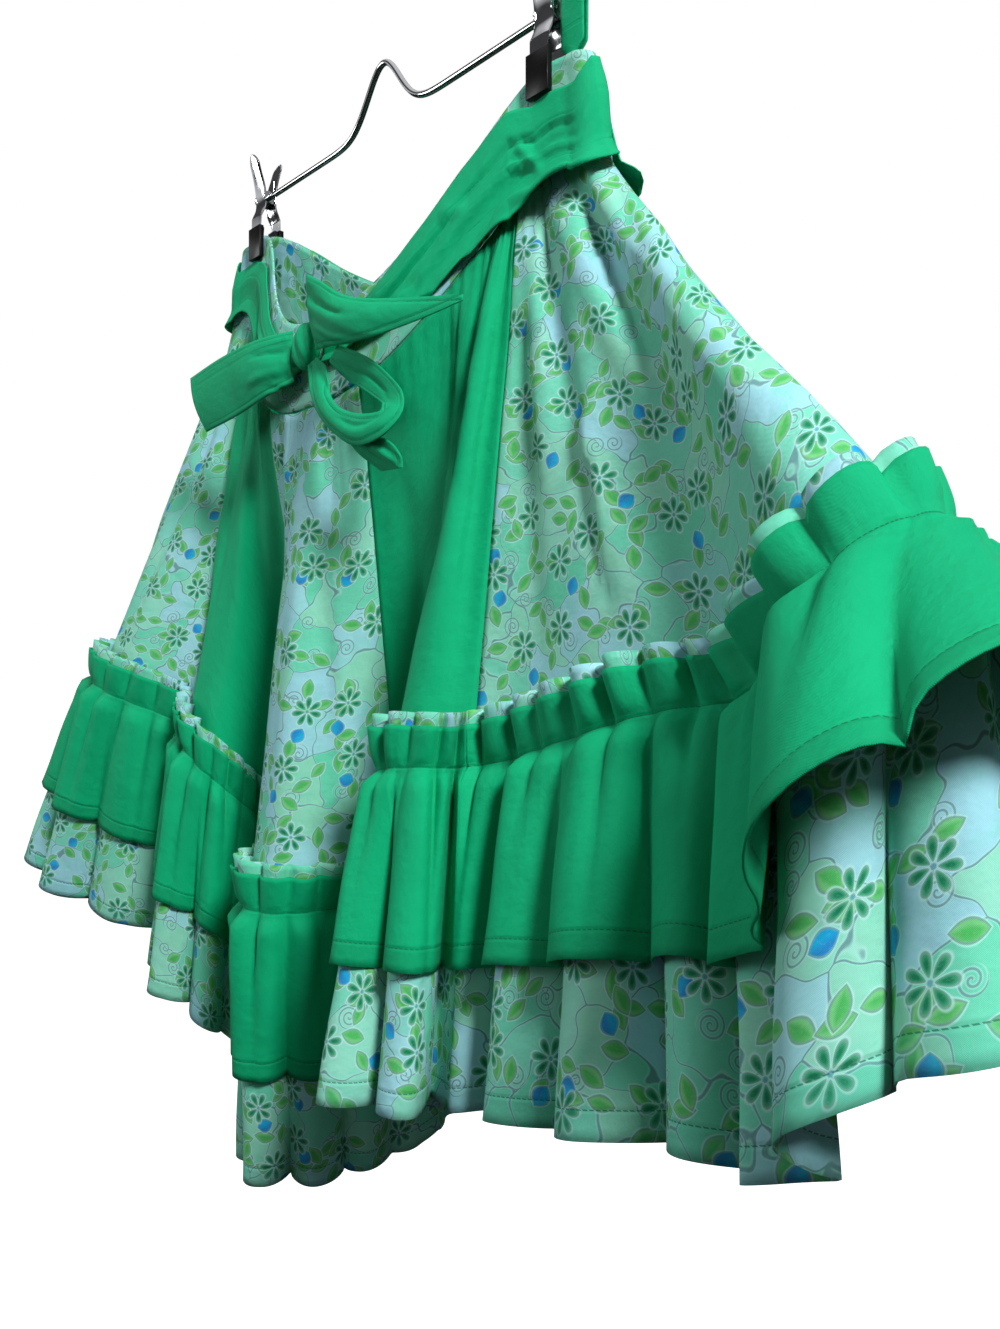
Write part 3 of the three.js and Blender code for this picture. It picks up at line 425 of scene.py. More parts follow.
def make_gores():
    g = ring_points(FINE)[None, :]
    depth = np.linspace(BAND + SEAM_GAP, BAND + GORE, 62)[:, None]
    base = body(g, depth)
    normals = normals_of(base, closed=True)
    down = (depth - BAND) / GORE
    calm = away_from_loops(g)
    wave = np.sin(np.pi / 2 * ((g + 0.5) * 14 + 0.5)) * uneven(np.floor((g + 0.5) * 14 / 4)) * 1.25
    gathered = np.interp(down, [0, 0.1, 0.3, 0.6, 1], [0.15, 1, 0.6, 0.2, 0])
    fine = np.sin(2 * np.pi * (g * 17 + 0.35 * round_wave(g, 12))) * np.exp(-down * 9)
    fine = fine * (1 + 0.5 * round_wave(g, 39))
    height = WAIST_GATHER * gathered * wave * calm + 0.9 * fine * calm * smooth(down, 0, 0.02)
    drift = round_wave(g, 14, 9 * down) * round_wave(g, 30, -4 * down)
    height = height + 0.6 * drift * smooth(down, 0.1, 0.4)
    grid = base + normals * height[..., None]
    grid = creased(grid, normals, GORE_CREASES, smooth(down, 0.0, 0.06),
                   1 - smooth(down, 0.86, 0.93))
    normals = normals_of(grid, closed=True)
    for k, name in enumerate(GORE_NAMES):
        part, out = (take(array, k * FINE, (k + 1) * FINE) for array in (grid, normals))
        u = run_along(part, 1)
        u = u - u[:, FINE // 2][:, None]
        v = run_along(part, 0)[:, FINE // 2][:, None]
        width = u[:, -1:] - u[:, :1]
        edge = np.minimum(u - u[:, :1], u[:, -1:] - u)
        part = part - out * (0.7 * np.exp(-(edge / 2.0) ** 2))[..., None]
        slot = "print_cloth" if name.endswith("print") else "green_cloth"
        shell(f"{name}_gore", part, u + 131 * k, -v, NO_STITCH, slot, [f"gore_{name}"],
              (float(width.max()) + 4, GORE + 12))


def round_wave(g, count, shift=0.0):
    """A wave that fits a whole number of times round the skirt."""
    return np.sin(2 * np.pi * count * g / GORES + shift)


def lively(turn, count, spread, seed):
    """A smooth chance number about 1, with one value at each of the waves round the skirt."""
    table = np.random.default_rng(seed).uniform(1 - spread, 1 + spread, count)
    at = turn / (2 * np.pi)
    i = np.floor(at).astype(int)
    return table[i % count] * (1 - at + i) + table[(i + 1) % count] * (at - i)


def gather_phase(g):
    """The frill's gathers round the skirt, 14 to a gore and unevenly wide."""
    even = np.pi * (g + 0.5) * 28 + np.pi / 2
    return even + 0.45 * round_wave(g, 17) + 0.35 * round_wave(g, 38, 1)


def pleats(turn, sharpness):
    """A wave with broad tops and narrow creases, which peaks where the sine of its turn does."""
    return 2 * np.abs(np.sin(turn / 2 + np.pi / 4)) ** sharpness - 1.2


def flute_gain(g):
    """Deeper flutes where the flounce faces outwards, and shallow ones inside the valleys."""
    return 1 + 0.35 * smooth(track(g, RIPPLE), 0.7, 1)


# Lift in mm from which a flounce lifts along its own fall, to where it does so most, and how much.
SWING_FROM, SWING_TO, SWING_MOST = 8, 40, 0.85


def make_flounce(kind, rows_down, stand_off, lift):
    g = ring_points(FINEST)[None, :]
    row = np.array(rows_down, float)[:, None]
    above = body(g, BAND + GORE + np.minimum(row, 0))
    seam = gather_line(g)
    below = seam + (print_hem(g) - seam) * (np.maximum(row, 0) / PRINT_FLOUNCE)[..., None]
    if lift:
        along = gather_line(g + 0.02) - gather_line(g - 0.02)
        outward = points(along[..., 1], -along[..., 0], 0 * along[..., 0])
        away = (print_hem(g) - seam) * (1, 1, 0)
        swing = SWING_MOST * smooth(track(g, LIFT), SWING_FROM, SWING_TO)[..., None]
        outward = unit(unit(outward) * (1 - swing) + unit(away) * swing)
        reach = (track(g, LIFT) - 3) * (np.maximum(row, 0) / GREEN_FLOUNCE) ** 1.2
        lifted = below + reach[..., None] * outward
        below = fall(np.broadcast_to(seam, lifted.shape), lifted[..., 0], lifted[..., 1],
                     np.maximum(row, 0))
    base = np.where((row <= 0)[..., None], above, below)
    normals = normals_of(base, closed=True)
    step = np.linalg.norm(np.roll(base, -1, 1) - base, axis=-1)
    column = FINEST // (2 * GATHERS)
    room = sum(np.roll(step, -k, 1) for k in range(-column // 2, column - column // 2))
    tight = np.minimum(room / EASY_ROOM, 1)
    ripple = track(g, RIPPLE)
    phase = gather_phase(g)
    heading = np.clip(-row / PRINT_HEADING, 0, 1)
    gathers, flutes = GORES * GATHERS, GORES * FLUTES
    frill = (SEAM_GATHER + 5.6 * heading ** 0.5) * tight * pleats(phase, 0.55)
    frill = frill * (1 + (lively(phase, gathers, 0.5, 3) - 1) * smooth(heading, 0, 0.3))
    below_line = np.clip(row, 0, None)
    turn = np.pi / 2 * ((g + 0.5) * 28 + 0.5)
    turn = turn + 0.3 * round_wave(g, 19, 1) * smooth(row, 0, 30)
    flute = pleats(turn, 0.75) * 1.85 * lively(turn, flutes, 0.35, 5)
    flute = flute * FLUTE_DEPTH * np.sqrt(below_line / PRINT_FLOUNCE) * ripple * tight
    flute = flute * flute_gain(g)
    reach = 18 + 26 * (lively(phase, gathers, 0.9, 11) - 0.1) ** 2
    pinch = (SEAM_GATHER + 5.2 * smooth(row, 0, 8)) * np.exp(-below_line / reach)
    sharp = pleats(phase, 0.7) * pinch * tight * lively(phase, gathers, 0.5, 7)
    height = np.where(row <= 0, frill, flute + np.where(row > 0, sharp, 0))
    soft = round_wave(g, 24, 0.05 * row) * round_wave(g, 55, -0.03 * row)
    soft = 0.7 * soft * smooth(row, 10, 60)
    grid = base + normals * (stand_off(row) + height + soft)[..., None]
    length = run_along(np.concatenate([grid, grid[:, :1]], axis=1), 1)[-1]
    hem = rows_down[-1]
    for k, side in enumerate(SIDES):
        first, last = 2 * k * FINEST, 2 * (k + 1) * FINEST
        part = take(grid, first, last)
        u = (length[first:last + 1] + 57 * k)[None, :]
        marks = hem - HEM - row
        marks = np.where(row < hem / 3, np.minimum(np.abs(row), 9.0), marks)
        cut = float(length[last] - length[first]) + 4, float(hem - rows_down[0]) + 14
        shell(f"{kind}_flounce_{side}", part, u, -row + 0 * u, marks, f"{kind}_cloth",
              [f"flounce_{kind}_{side}"], cut)


def print_stand_off(row):
    """The heading leans out above the gather line, and the flounce swells out below it."""
    swell = 3.4 * smooth(row, 0, 11) * (1 - 0.6 * smooth(row, 30, 110))
    return np.where(row <= 0, 2.4 + 5.6 * np.clip(-row / PRINT_HEADING, 0, 1) ** 0.7, 2.4 + swell)


def green_stand_off(row):
    over = np.where(row <= 0, 2.4 + 0.4 * np.clip(-row / GREEN_HEADING, 0, 1), 3)
    return print_stand_off(row) + over


def nearest(w):
    """The column of the cloth at the solids' column nearest to a place round the waist."""
    return int(np.argmin(np.abs(signed(hang(ring_points(COARSE)) - w)))) * STEP


def make_waistband():
    g = ring_points(FINE)
    depth = np.linspace(0, BAND - 0.35, 16)[:, None]
    base = body(g[None, :], depth)
    normals = normals_of(base, closed=True)
    across = depth / BAND
    pucker = 0.35 * round_wave(g, 89) * np.sin(np.pi * across) + 0.5 * round_wave(g, 29, 5 * across)
    calm = away_from_loops(g)[None, :]
    grid = base + normals * (0.7 * pucker * calm * np.sin(np.pi * across))[..., None]
    right, left = nearest(LOOP_MIDDLE), nearest(-LOOP_MIDDLE)
    ends = (("front", left - GORES * FINE if left > right else left, right), ("back", right, left))
    for k, (name, first, last) in enumerate(ends):
        part = take(grid, first, last)
        u, v = run_along(part, 1)[:1], run_along(part, 0)[:, :1]
        marks = np.minimum(np.abs(v - 2.2), np.abs(v - v.max() + 2.2))
        shell(f"waist_band_{name}", part, u + 300 * k, -v, marks, "print_cloth",
              [f"waistband_{name}"], (float(u.max()) + 4, BAND + 14),
              thickness=1.2)


def table_at(table, at, column):
    table = np.array(table, float)
    return np.interp(at, table[:, 0], table[:, column])


# Creases of a sash: share along it and across it, to the same; height, half width in mm.
SASH_CREASES = {
    "sash_right": ((0.06, 0.24, 0.95, 0.34, -2.2, 2.6), (0.10, 0.55, 0.95, 0.52, 2.4, 2.2),
                   (0.04, 0.80, 0.50, 0.70, -1.8, 2.4), (0.60, 0.86, 0.98, 0.78, 1.6, 3.0),
                   (0.20, 0.72, 0.70, 0.80, -1.2, 4.0), (0.44, 0.10, 0.56, 0.45, 1.0, 5.0),
                   (0.30, 0.30, 0.40, 0.62, -0.9, 5.0), (0.70, 0.25, 0.80, 0.70, 1.1, 5.0),
                   (0.02, 0.40, 0.30, 0.46, 1.6, 2.4)),
    "sash_left": ((0.40, 0.55, 0.98, 0.42, -1.6, 2.6), (0.46, 0.40, 0.98, 0.20, 1.4, 3.0),
                  (0.62, 0.75, 0.98, 0.66, 1.2, 2.4), (0.30, 0.30, 0.50, 0.66, -1.0, 4.0)),
    "sash_back": ((0.15, 0.45, 0.42, 0.55, -1.4, 3.2), (0.35, 0.30, 0.60, 0.36, 1.2, 3.0),
                  (0.55, 0.62, 0.86, 0.50, -1.3, 3.0), (0.62, 0.25, 0.70, 0.70, 0.8, 5.0)),
}


def strokes(grid, u, v, table):
    """Height of a table of creases given by shares along and across a piece."""
    width, tall = float(np.max(u)), float(np.max(v))
    total = np.zeros(grid.shape[:2])
    for a0, b0, a1, b1, height, half in table:
        start, stop = np.array([a0 * width, b0]), np.array([a1 * width, b1])
        length = stop[0] - start[0]
        along = np.clip((u - start[0]) / length, 0, 1)
        across = (start[1] + (stop[1] - start[1]) * along) * tall
        beyond = np.maximum(np.maximum(start[0] - u, u - stop[0]), 0)
        fade = smooth(along, 0, 0.3) * (1 - smooth(along, 0.7, 1)) + 0.15
        total = total + height * fade * np.exp(-((v - across) / half) ** 2 - (beyond / 6) ** 2)
    return total


def make_sash(name, table, folds):
    rows = 30
    first, last = nearest(table[0][0]), nearest(table[-1][0])
    if last < first:
        last += GORES * FINE
    at = ring_points(FINE)[np.arange(first, last + 1) % (GORES * FINE)]
    w = np.mod(hang(at), GORES) - (GORES if table[0][0] < 0 else 0)
    share = np.linspace(0, 1, rows)[:, None]
    top, bottom = table_at(table, w, 1)[None, :], table_at(table, w, 2)[None, :]
    depth = top + (bottom - top) * share
    base = body(at[None, :], depth)
    normals = normals_of(base)
    strips = len(folds) - 1
    stops, within = np.linspace(0, 1, len(folds)), np.mod(share * strips, 1)
    out = np.interp(share, stops, folds)
    ease = (1 - np.cos(np.pi * within)) / 2 - within
    nearby = np.interp(np.clip(share + 0.5 / strips, 0, 1), stops, folds) - out
    out = out + ease * nearby * 1.2 + SASH_FLARE * np.maximum(depth - FLARE_FROM, 0)
    grid = base + normals * out[..., None]
    u, v = run_along(grid, 1)[rows // 2][None, :], run_along(grid, 0)
    height = 1.6 * strokes(grid, u, v, SASH_CREASES[name])
    height = height + 0.35 * np.sin(u / 9 + v / 7) * np.sin(v / 11 + u / 31)
    grid = grid + normals_of(grid) * height[..., None]
    tall = v[-1:]
    marks = np.minimum(np.abs(v - 0.3 * tall), np.abs(v - 0.74 * tall))
    shell(name.replace("sash", "tie"), grid, u, -v, marks, "green_cloth", [name],
          (float(u.max()) + 6, float(tall.max()) + 4))


# ---- bow ----
def spline(values, share):
    """A smooth curve through rows of values, evenly placed over 0 to 1."""
    values = np.array(values, float)
    count = len(values) - 1
    padded = np.concatenate([[2 * values[0] - values[1]], values, [2 * values[-1] - values[-2]]])
    at = np.clip(share * count, 0, count - 1e-9)
    i = at.astype(int)
    t = (at - i)[:, None]
    a, b, c, d = padded[i], padded[i + 1], padded[i + 2], padded[i + 3]
    return 0.5 * (2 * b + (c - a) * t + (2 * a - 5 * b + 4 * c - d) * t ** 2
                  + (3 * b - a - 3 * c + d) * t ** 3)


RIBBON_CREASES = {
    "bow_left_tail": ((0.02, 0.30, 0.34, 0.24, -1.3, 2.2), (0.02, 0.55, 0.40, 0.62, 1.3, 2.6),
                      (0.02, 0.80, 0.28, 0.74, -1.0, 2.0), (0.34, 0.20, 0.55, 0.75, 0.5, 6.0)),
    "bow_pointed_loop": ((0.02, 0.30, 0.45, 0.25, -1.8, 2.4), (0.02, 0.62, 0.50, 0.55, 1.8, 2.6),
                         (0.02, 0.85, 0.40, 0.80, -1.2, 2.2), (0.30, 0.45, 0.80, 0.50, 0.8, 4.0)),
    "bow_hanging_loop": ((0.02, 0.35, 0.30, 0.55, 1.2, 2.2), (0.16, 0.60, 0.50, 0.72, -1.4, 2.0),
                         (0.30, 0.30, 0.62, 0.45, 1.2, 2.4), (0.66, 0.50, 0.98, 0.40, 1.5, 2.4)),
    "bow_short_tail": ((0.05, 0.30, 0.95, 0.36, 1.2, 2.6), (0.05, 0.66, 0.95, 0.60, -1.4, 2.4)),
}


def make_ribbon(name, table, steps, across=26):
    share = np.linspace(0, 1, steps)
    upper, lower = (spline([row[k:k + 3] for row in table], share) for k in (0, 3))
    cup = spline([row[6:7] for row in table], share)[:, 0]
    fall_share = np.linspace(0, 1, across)
    grid = upper[None] + (lower - upper)[None] * fall_share[:, None, None]
    if table[0][0] > table[-1][0]:
        grid, cup = grid[:, ::-1], cup[::-1]
    grid = grid + normals_of(grid) * (cup[None] * np.sin(np.pi * fall_share)[:, None])[..., None]
    u, v = run_along(grid, 1)[across // 2][None, :], run_along(grid, 0)
    flipped = table[0][0] > table[-1][0]
    away = (u.max() - u) if flipped else u
    knotted = np.exp(-away / 16)
    gathers = 1.3 * np.sin(v / 2.6 + 0.02 * away * np.sin(v)) * knotted * smooth(away, 0, 5)
    shares = [(1 - a1, b1, 1 - a0, b0, h, r) if flipped else (a0, b0, a1, b1, h, r)
              for a0, b0, a1, b1, h, r in RIBBON_CREASES[name]]
    grid = grid + normals_of(grid) * (strokes(grid, u, v, shares) + gathers)[..., None]
    tall = v[-1:]
    marks = np.minimum(np.abs(v - 3), np.abs(v - tall + 3))
    if name == "bow_left_tail":
        marks = np.minimum(np.minimum(marks, np.abs(u - 6) + 0 * v), np.abs(v - tall * 0.22))
    shell(name + "_cloth", grid, u, -v, marks, "green_cloth", [name],
          (float(u.max()) + 6, float(tall.max()) + 6))


def make_knot():
    bm = bmesh.new()
    bmesh.ops.create_uvsphere(bm, u_segments=72, v_segments=40, radius=0.5)
    for vert in bm.verts:
        x, y, z = vert.co
        slant = 0.8 * x + 0.6 * z
        ridge = (0.05 * math.sin(19 * slant + 1.1 * math.sin(5 * z))
                 + 0.02 * math.sin(37 * slant + 2))
        square = 1 + 0.18 * (abs(z) * 2) ** 4
        vert.co.x = x * square * (1 - 0.12 * math.cos(math.pi * z))
        vert.co.y = y * square * (1 + 1.6 * ridge)
        vert.co.z = z * (1 + 0.03 * math.sin(11 * x))
    bmesh.ops.scale(bm, vec=[size * MM for size in KNOT["size"]], verts=bm.verts)
    bmesh.ops.rotate(bm, matrix=Matrix.Rotation(KNOT["tilt"], 3, "Y"), verts=bm.verts)
    bmesh.ops.translate(bm, vec=[place * MM for place in KNOT["place"]], verts=bm.verts)
    uv = bm.loops.layers.uv.new("cloth")
    marks = bm.verts.layers.float.new("stitch")
    for vert in bm.verts:
        vert[marks] = NO_STITCH
        for loop in vert.link_loops:
            loop[uv].uv = (vert.co.x / MM / UV_UNIT, vert.co.z / MM / UV_UNIT)
    name = "bow_knot_cloth"
    piece = put(name, mesh_from(name, bm), "green_cloth", ["bow_knot"])


def make_strap():
    outline = []
    for k in range(13):
        outline.append((-(STRAP["leg"] + STRAP["puff"] * math.sin(math.pi * k / 12)), k / 12))
    for k in range(1, 8):
        angle = math.pi * k / 8
        outline.append((-STRAP["leg"] * math.cos(angle),
                        1 + STRAP["leg"] * math.sin(angle) / STRAP["rise"]))
    outline += [(-y, share) for y, share in reversed(outline[:13])]
    fine = spline(outline, np.linspace(0, 1, 150))
    y, share = fine[:, 0], fine[:, 1]
    foot = STRAP["foot"] / (STRAP["foot"] + STRAP["rise"])
    z = WAIST_Z - STRAP["foot"] + share * (STRAP["foot"] + STRAP["rise"])
    wider = smooth(share, foot - 0.02, foot + 0.05)
    half = STRAP["foot_half"] + (STRAP["half"] - STRAP["foot_half"]) * wider
    side = np.linspace(-1, 1, 14)
    grid = points(STRAP["x"] + half[:, None] * side[None, :], y[:, None] + 0 * side[None, :],
                  z[:, None] + 0 * side[None, :])[::-1]
    bow_out = (0.5 * (1 - side ** 2))[None, :, None]
    grid = grid + normals_of(grid) * bow_out
    u, v = run_along(grid, 1), run_along(grid, 0)[:, 7][:, None]
    middle = float(v.max()) / 2
    lines = [abs(v - middle + d) for d in (-68, -51, -34, 34, 51, 68)]
    marks = np.minimum.reduce([line + 0 * u for line in lines])
    shell("hanging_loop_cloth", grid, u, -v, marks, "green_cloth", ["hanging_loop"],
          (2 * STRAP["half"] + 1, float(v.max()) + 2))


# ---- hanger ----
def wire_mesh(name, path, radius, sides):
    """A round wire along a path of points in mm."""
    curve = bpy.data.curves.new(name, "CURVE")
    curve.dimensions = "3D"
    curve.bevel_depth = radius * MM
    curve.bevel_resolution = sides // 2
    curve.use_fill_caps = True
    line = curve.splines.new("POLY")
    line.points.add(len(path) - 1)
    for point, place in zip(line.points, path):
        point.co = (place[0] * MM, place[1] * MM, place[2] * MM, 1)
    holder = bpy.data.objects.new(name, curve)
    bpy.context.scene.collection.objects.link(holder)
    mesh = bpy.data.meshes.new_from_object(holder)
    bpy.data.objects.remove(holder)
    mesh.name = name
    return mesh


def make_wire():
    ends = [75, 100, 130, CLIP_X + WIRE_END]
    stops = [-x for x in reversed(ends)] + list(range(-60, 61, 5)) + ends
    hump = [HUMP_RISE * math.exp(-((x / HUMP_WIDTH) ** 2)) if abs(x) <= 60 else 0 for x in stops]
    rows = [(x, 0, BAR_Z + rise) for x, rise in zip(stops, hump)]
    path = spline(rows, np.linspace(0, 1, 260))
    put("wire", wire_mesh("wire", path, WIRE_R, 12), "chrome", ["hanger_wire"])


JAW_HALF, EAR_R, EAR_THICK = 7, 4.3, 0.8
SPRING = {"half": 4.4, "radius": 3.0, "wire": 0.5, "turns": 5, "foot": 4.2, "rise": 14}


def make_jaw(name, face, side, x):
    line = spline(JAW_LINE, np.linspace(0, 1, 64))
    y, h = line[:, 0] + 0.5, line[:, 1]
    top = np.clip((30 - h) / 7, 0, 1)
    half = JAW_HALF * np.sqrt(1 - (1 - top) ** 2 * 0.985) * (1 - 0.28 * smooth(-h, 10, 44))
    half = half * (1 - 0.12 * smooth(h, 6, 20))
    across = np.linspace(-1, 1, 17)
    lip = 0.9 * np.abs(across) ** 4
    grid = points(half[:, None] * across, y[:, None] - lip * smooth(h, -40, -8)[:, None],
                  h[:, None])
    grid = grid * ((1, -1, 1) if side < 0 else (-1, 1, 1)) + np.array([x, 0, BAR_Z])
    plate = f"{name}_plate_{face}"
    jaw = put(plate, grid_mesh(plate, grid)[0], "chrome", [f"{name}_jaw_{face}"])
    thicken(jaw, 1)
    round_edges(jaw, 0.25, limit_method="ANGLE")


def make_ears(name, face, side, x):
    """The two round ears of a jaw, through which the bar runs."""
    bm = bmesh.new()
    inset = 0 if side < 0 else 1.15
    for end in (-1, 1):
        at = end * (JAW_HALF - EAR_THICK / 2 - inset)
        made = bmesh.ops.create_cone(bm, cap_ends=True, segments=32, radius1=EAR_R * MM,
                                     radius2=EAR_R * MM, depth=EAR_THICK * MM)["verts"]
        bmesh.ops.rotate(bm, matrix=Matrix.Rotation(math.pi / 2, 3, "Y"), verts=made)
        bmesh.ops.translate(bm, vec=Vector((x + at, 1.6 * side, BAR_Z)) * MM, verts=made)
    ears = f"{name}_ears_{face}"
    round_edges(put(ears, mesh_from(ears, bm), "chrome", smooth_faces=False), 0.2)


def make_spring(name, x):
    half, steps = SPRING["half"], 150
    coil = []
    for k in range(steps + 1):
        turn = 2 * math.pi * SPRING["turns"] * k / steps
        coil.append((x - half + 2 * half * k / steps, SPRING["radius"] * math.cos(turn),
                     BAR_Z + SPRING["radius"] * math.sin(turn)))
    foot, top = SPRING["foot"], BAR_Z + SPRING["rise"]
    path = [(x - half, -foot, top)] + coil + [(x + half, foot, top)]
    put(f"{name}_spring", wire_mesh(f"{name}_spring", path, SPRING["wire"], 8), "chrome")


def make_sleeve(name, face):
    bm = bmesh.new()
    bm.from_mesh(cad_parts[f"{name}_tip_{face}"].data)
    bmesh.ops.remove_doubles(bm, verts=bm.verts, dist=1e-6)
    bmesh.ops.dissolve_limit(bm, angle_limit=0.02, verts=bm.verts, edges=bm.edges)
    bmesh.ops.bevel(bm, geom=bm.edges[:], offset=0.3 * MM, segments=2, profile=0.5,
                    affect="EDGES", material=-1)
    sleeve = f"{name}_sleeve_{face}"
    put(sleeve, mesh_from(sleeve, bm), "vinyl", [f"{name}_tip_{face}"])


def make_clip(name, x):
    for face, side in (("front", -1), ("back", 1)):
        make_jaw(name, face, side, x)
        make_ears(name, face, side, x)
        make_sleeve(name, face)
    make_spring(name, x)


# ---- materials ----
MIX_A, MIX_B, MIX_OUT = 6, 7, 2   # the colour sockets of a Mix node
TURN = 2 * math.pi


class Value:
    """An output of a material's nodes; arithmetic with it adds Math nodes."""

    def __init__(self, shade, socket):
        self.shade, self.socket = shade, socket

    def math(self, operation, *others):
        return self.shade.math(operation, self, *others)

    def __abs__(self):
        return self.math("ABSOLUTE")

    def __rsub__(self, other):
        return self.shade.math("SUBTRACT", other, self)

    __add__, __sub__, __mul__, __truediv__ = (
        lambda self, other, name=name: self.math(name, other)
        for name in ("ADD", "SUBTRACT", "MULTIPLY", "DIVIDE"))


class Shade:
    """Short ways to wire a material's nodes."""

    def __init__(self, name, **sockets):
        self.material = bpy.data.materials.new(name)
        self.material.use_nodes = True
        self.tree = self.material.node_tree
        self.skin = next(n for n in self.tree.nodes if n.type == "BSDF_PRINCIPLED")
        self.dress(**sockets)

    def wire(self, source, socket):
        if isinstance(source, Value):
            self.tree.links.new(source.socket, socket)
        else:
            socket.default_value = source

    def dress(self, **sockets):
        for key, value in sockets.items():
            self.wire(value, self.skin.inputs[key.replace("_", " ")])

    def outputs(self, kind, inputs=(), **settings):
        """Adds a node with its settings and inputs, and gives its outputs."""
        node = self.tree.nodes.new("ShaderNode" + kind)
        for key, value in settings.items():
            setattr(node, key, value)
        for key, value in dict(inputs).items():
            self.wire(value, node.inputs[key])
        return node.outputs

    def add(self, kind, inputs=(), output=0, **settings):
        return Value(self, self.outputs(kind, inputs, **settings)[output])

    def math(self, operation, *values):
        return self.add("Math", enumerate(values), operation=operation)

    def vector(self, operation, *values):
        return self.add("VectorMath", enumerate(values), operation=operation)

    def ramp(self, value, low, high, start=0.0, end=1.0):
        ends = {"Value": value, "From Min": low, "From Max": high, "To Min": start, "To Max": end}
        return self.add("MapRange", ends, interpolation_type="SMOOTHSTEP")

    def fade(self, value, low, high, start=1.0):
        return self.ramp(value, low, high, start, 0.0)

    def mix(self, share, a, b):
        a, b = ((*c, 1.0) if isinstance(c, tuple) else c for c in (a, b))
        return self.add("Mix", {0: share, MIX_A: a, MIX_B: b}, MIX_OUT, data_type="RGBA")

    def noise(self, place, scale, detail=2.0, roughness=0.5, output=0):
        inputs = {"Vector": place, "Scale": scale, "Detail": detail, "Roughness": roughness}
        return self.add("TexNoise", inputs, output)

    def cells(self, place, size, randomness, feature="F1"):
        inputs = {"Vector": place, "Scale": 1 / size, "Randomness": randomness}
        made = self.outputs("TexVoronoi", inputs, voronoi_dimensions="2D", feature=feature)
        return {out.name: Value(self, out) for out in made}

    def apart(self, vector):
        return [Value(self, out) for out in self.outputs("SeparateXYZ", {0: vector})]

    def turned(self, vector, angle):
        inputs = {"Vector": vector, "Angle": angle}
        return self.add("VectorRotate", inputs, rotation_type="Z_AXIS")

    def bump(self, height, distance, strength=1.0, below=None):
        inputs = {"Height": height, "Distance": distance, "Strength": strength}
        return self.add("Bump", {**inputs, "Normal": below} if below else inputs)


def srgb(r, g, b):
    """A colour from its 0 to 255 values."""
    return tuple(((v / 255 + 0.055) / 1.055) ** 2.4 if v > 10 else v / 255 / 12.92
                 for v in (r, g, b))


def flat_place(shade):
    """The cloth's flat place in mm, from its own UV map."""
    return shade.vector("MULTIPLY", shade.add("UVMap", uv_map="cloth"),
                        (float(UV_UNIT), float(UV_UNIT), 0.0))


STITCH_STEP = 2.6


def stitches(shade, place):
    """Share of thread, in dashes along the stitching lines, the dent of the stitching, and the
    share of doubled cloth below a hem's stitching."""
    mark = shade.add("Attribute", output="Fac", attribute_type="GEOMETRY", attribute_name="stitch")
    x, y, _ = shade.apart(place)
    step = ((x + y) * (1 / STITCH_STEP)).math("FRACT")
    thread = shade.fade(abs(mark), 0.16, 0.36) * shade.fade(abs(step - 0.5), 0.32, 0.4)
    return thread, shade.ramp(abs(mark), 0.0, 1.6), shade.fade(mark, -0.3, 0.1)


def weave_bump(shade, place, groove, thread):
    warp, weft = ((way * (TURN / thread)).math("SINE") for way in shade.apart(place)[:2])
    weave = shade.bump(warp * weft, 0.00006)
    crumple = shade.bump(shade.noise(place, 0.11, 3.0, 0.55), 0.0016, 0.55, weave)
    return shade.bump(groove, 0.0005, 0.7, crumple)


def make_green_cloth():
    shade = Shade("green_poplin", Roughness=0.62, Sheen_Weight=0.01, Sheen_Roughness=0.4,
                  Specular_IOR_Level=0.14)
    place = flat_place(shade)
    green = shade.mix(shade.noise(place, 0.035, 3.0), srgb(0, 158, 106), srgb(0, 172, 117))
    slub = shade.noise(shade.vector("MULTIPLY", place, (0.15, 2.2, 1.0)), 1.0)
    green = shade.mix(shade.ramp(slub, 0.55, 0.8, 0.0, 0.12), green, srgb(0, 188, 130))
    thread, groove, doubled = stitches(shade, place)
    green = shade.mix(doubled * 0.5, green, srgb(0, 138, 90))
    shade.dress(Base_Color=shade.mix(thread * 0.75, green, srgb(0, 84, 52)),
                Normal=weave_bump(shade, place, groove, 0.55))
    return shade.material


def object_place(shade):
    return shade.add("TexCoord", output="Object")


def make_chrome():
    shade = Shade("chrome_plate", Metallic=1.0)
    place = object_place(shade)
    tone = shade.mix(shade.noise(place, 60.0), srgb(176, 178, 182), srgb(204, 206, 210))
    rough = shade.ramp(shade.noise(place, 120.0), 0.3, 0.8, 0.07, 0.16)
    shade.dress(Base_Color=tone, Roughness=rough)
    return shade.material


def make_vinyl():
    shade = Shade("black_vinyl", Roughness=0.32, Specular_IOR_Level=0.16)
    place = object_place(shade)
    tone = shade.mix(shade.noise(place, 120.0, 3.0), srgb(7, 7, 8), srgb(15, 15, 17))
    shade.dress(Base_Color=tone, Normal=shade.bump(shade.noise(place, 900.0), 0.00008, 0.5))
    return shade.material


def local_place(shade, place, size, shift, randomness=0.6):
    """Turned place from the nearest of a scatter of centres, and that centre's random numbers."""
    moved = shade.vector("ADD", place, (*shift, 0.0))
    cell = shade.cells(moved, size, randomness)
    chance = shade.apart(cell["Color"])
    return shade.turned(shade.vector("SUBTRACT", moved, cell["Position"]), chance[0] * TURN), chance


def polar(shade, local):
    x, y, _ = shade.apart(local)
    return (x * x + y * y).math("SQRT"), y.math("ARCTAN2", x)


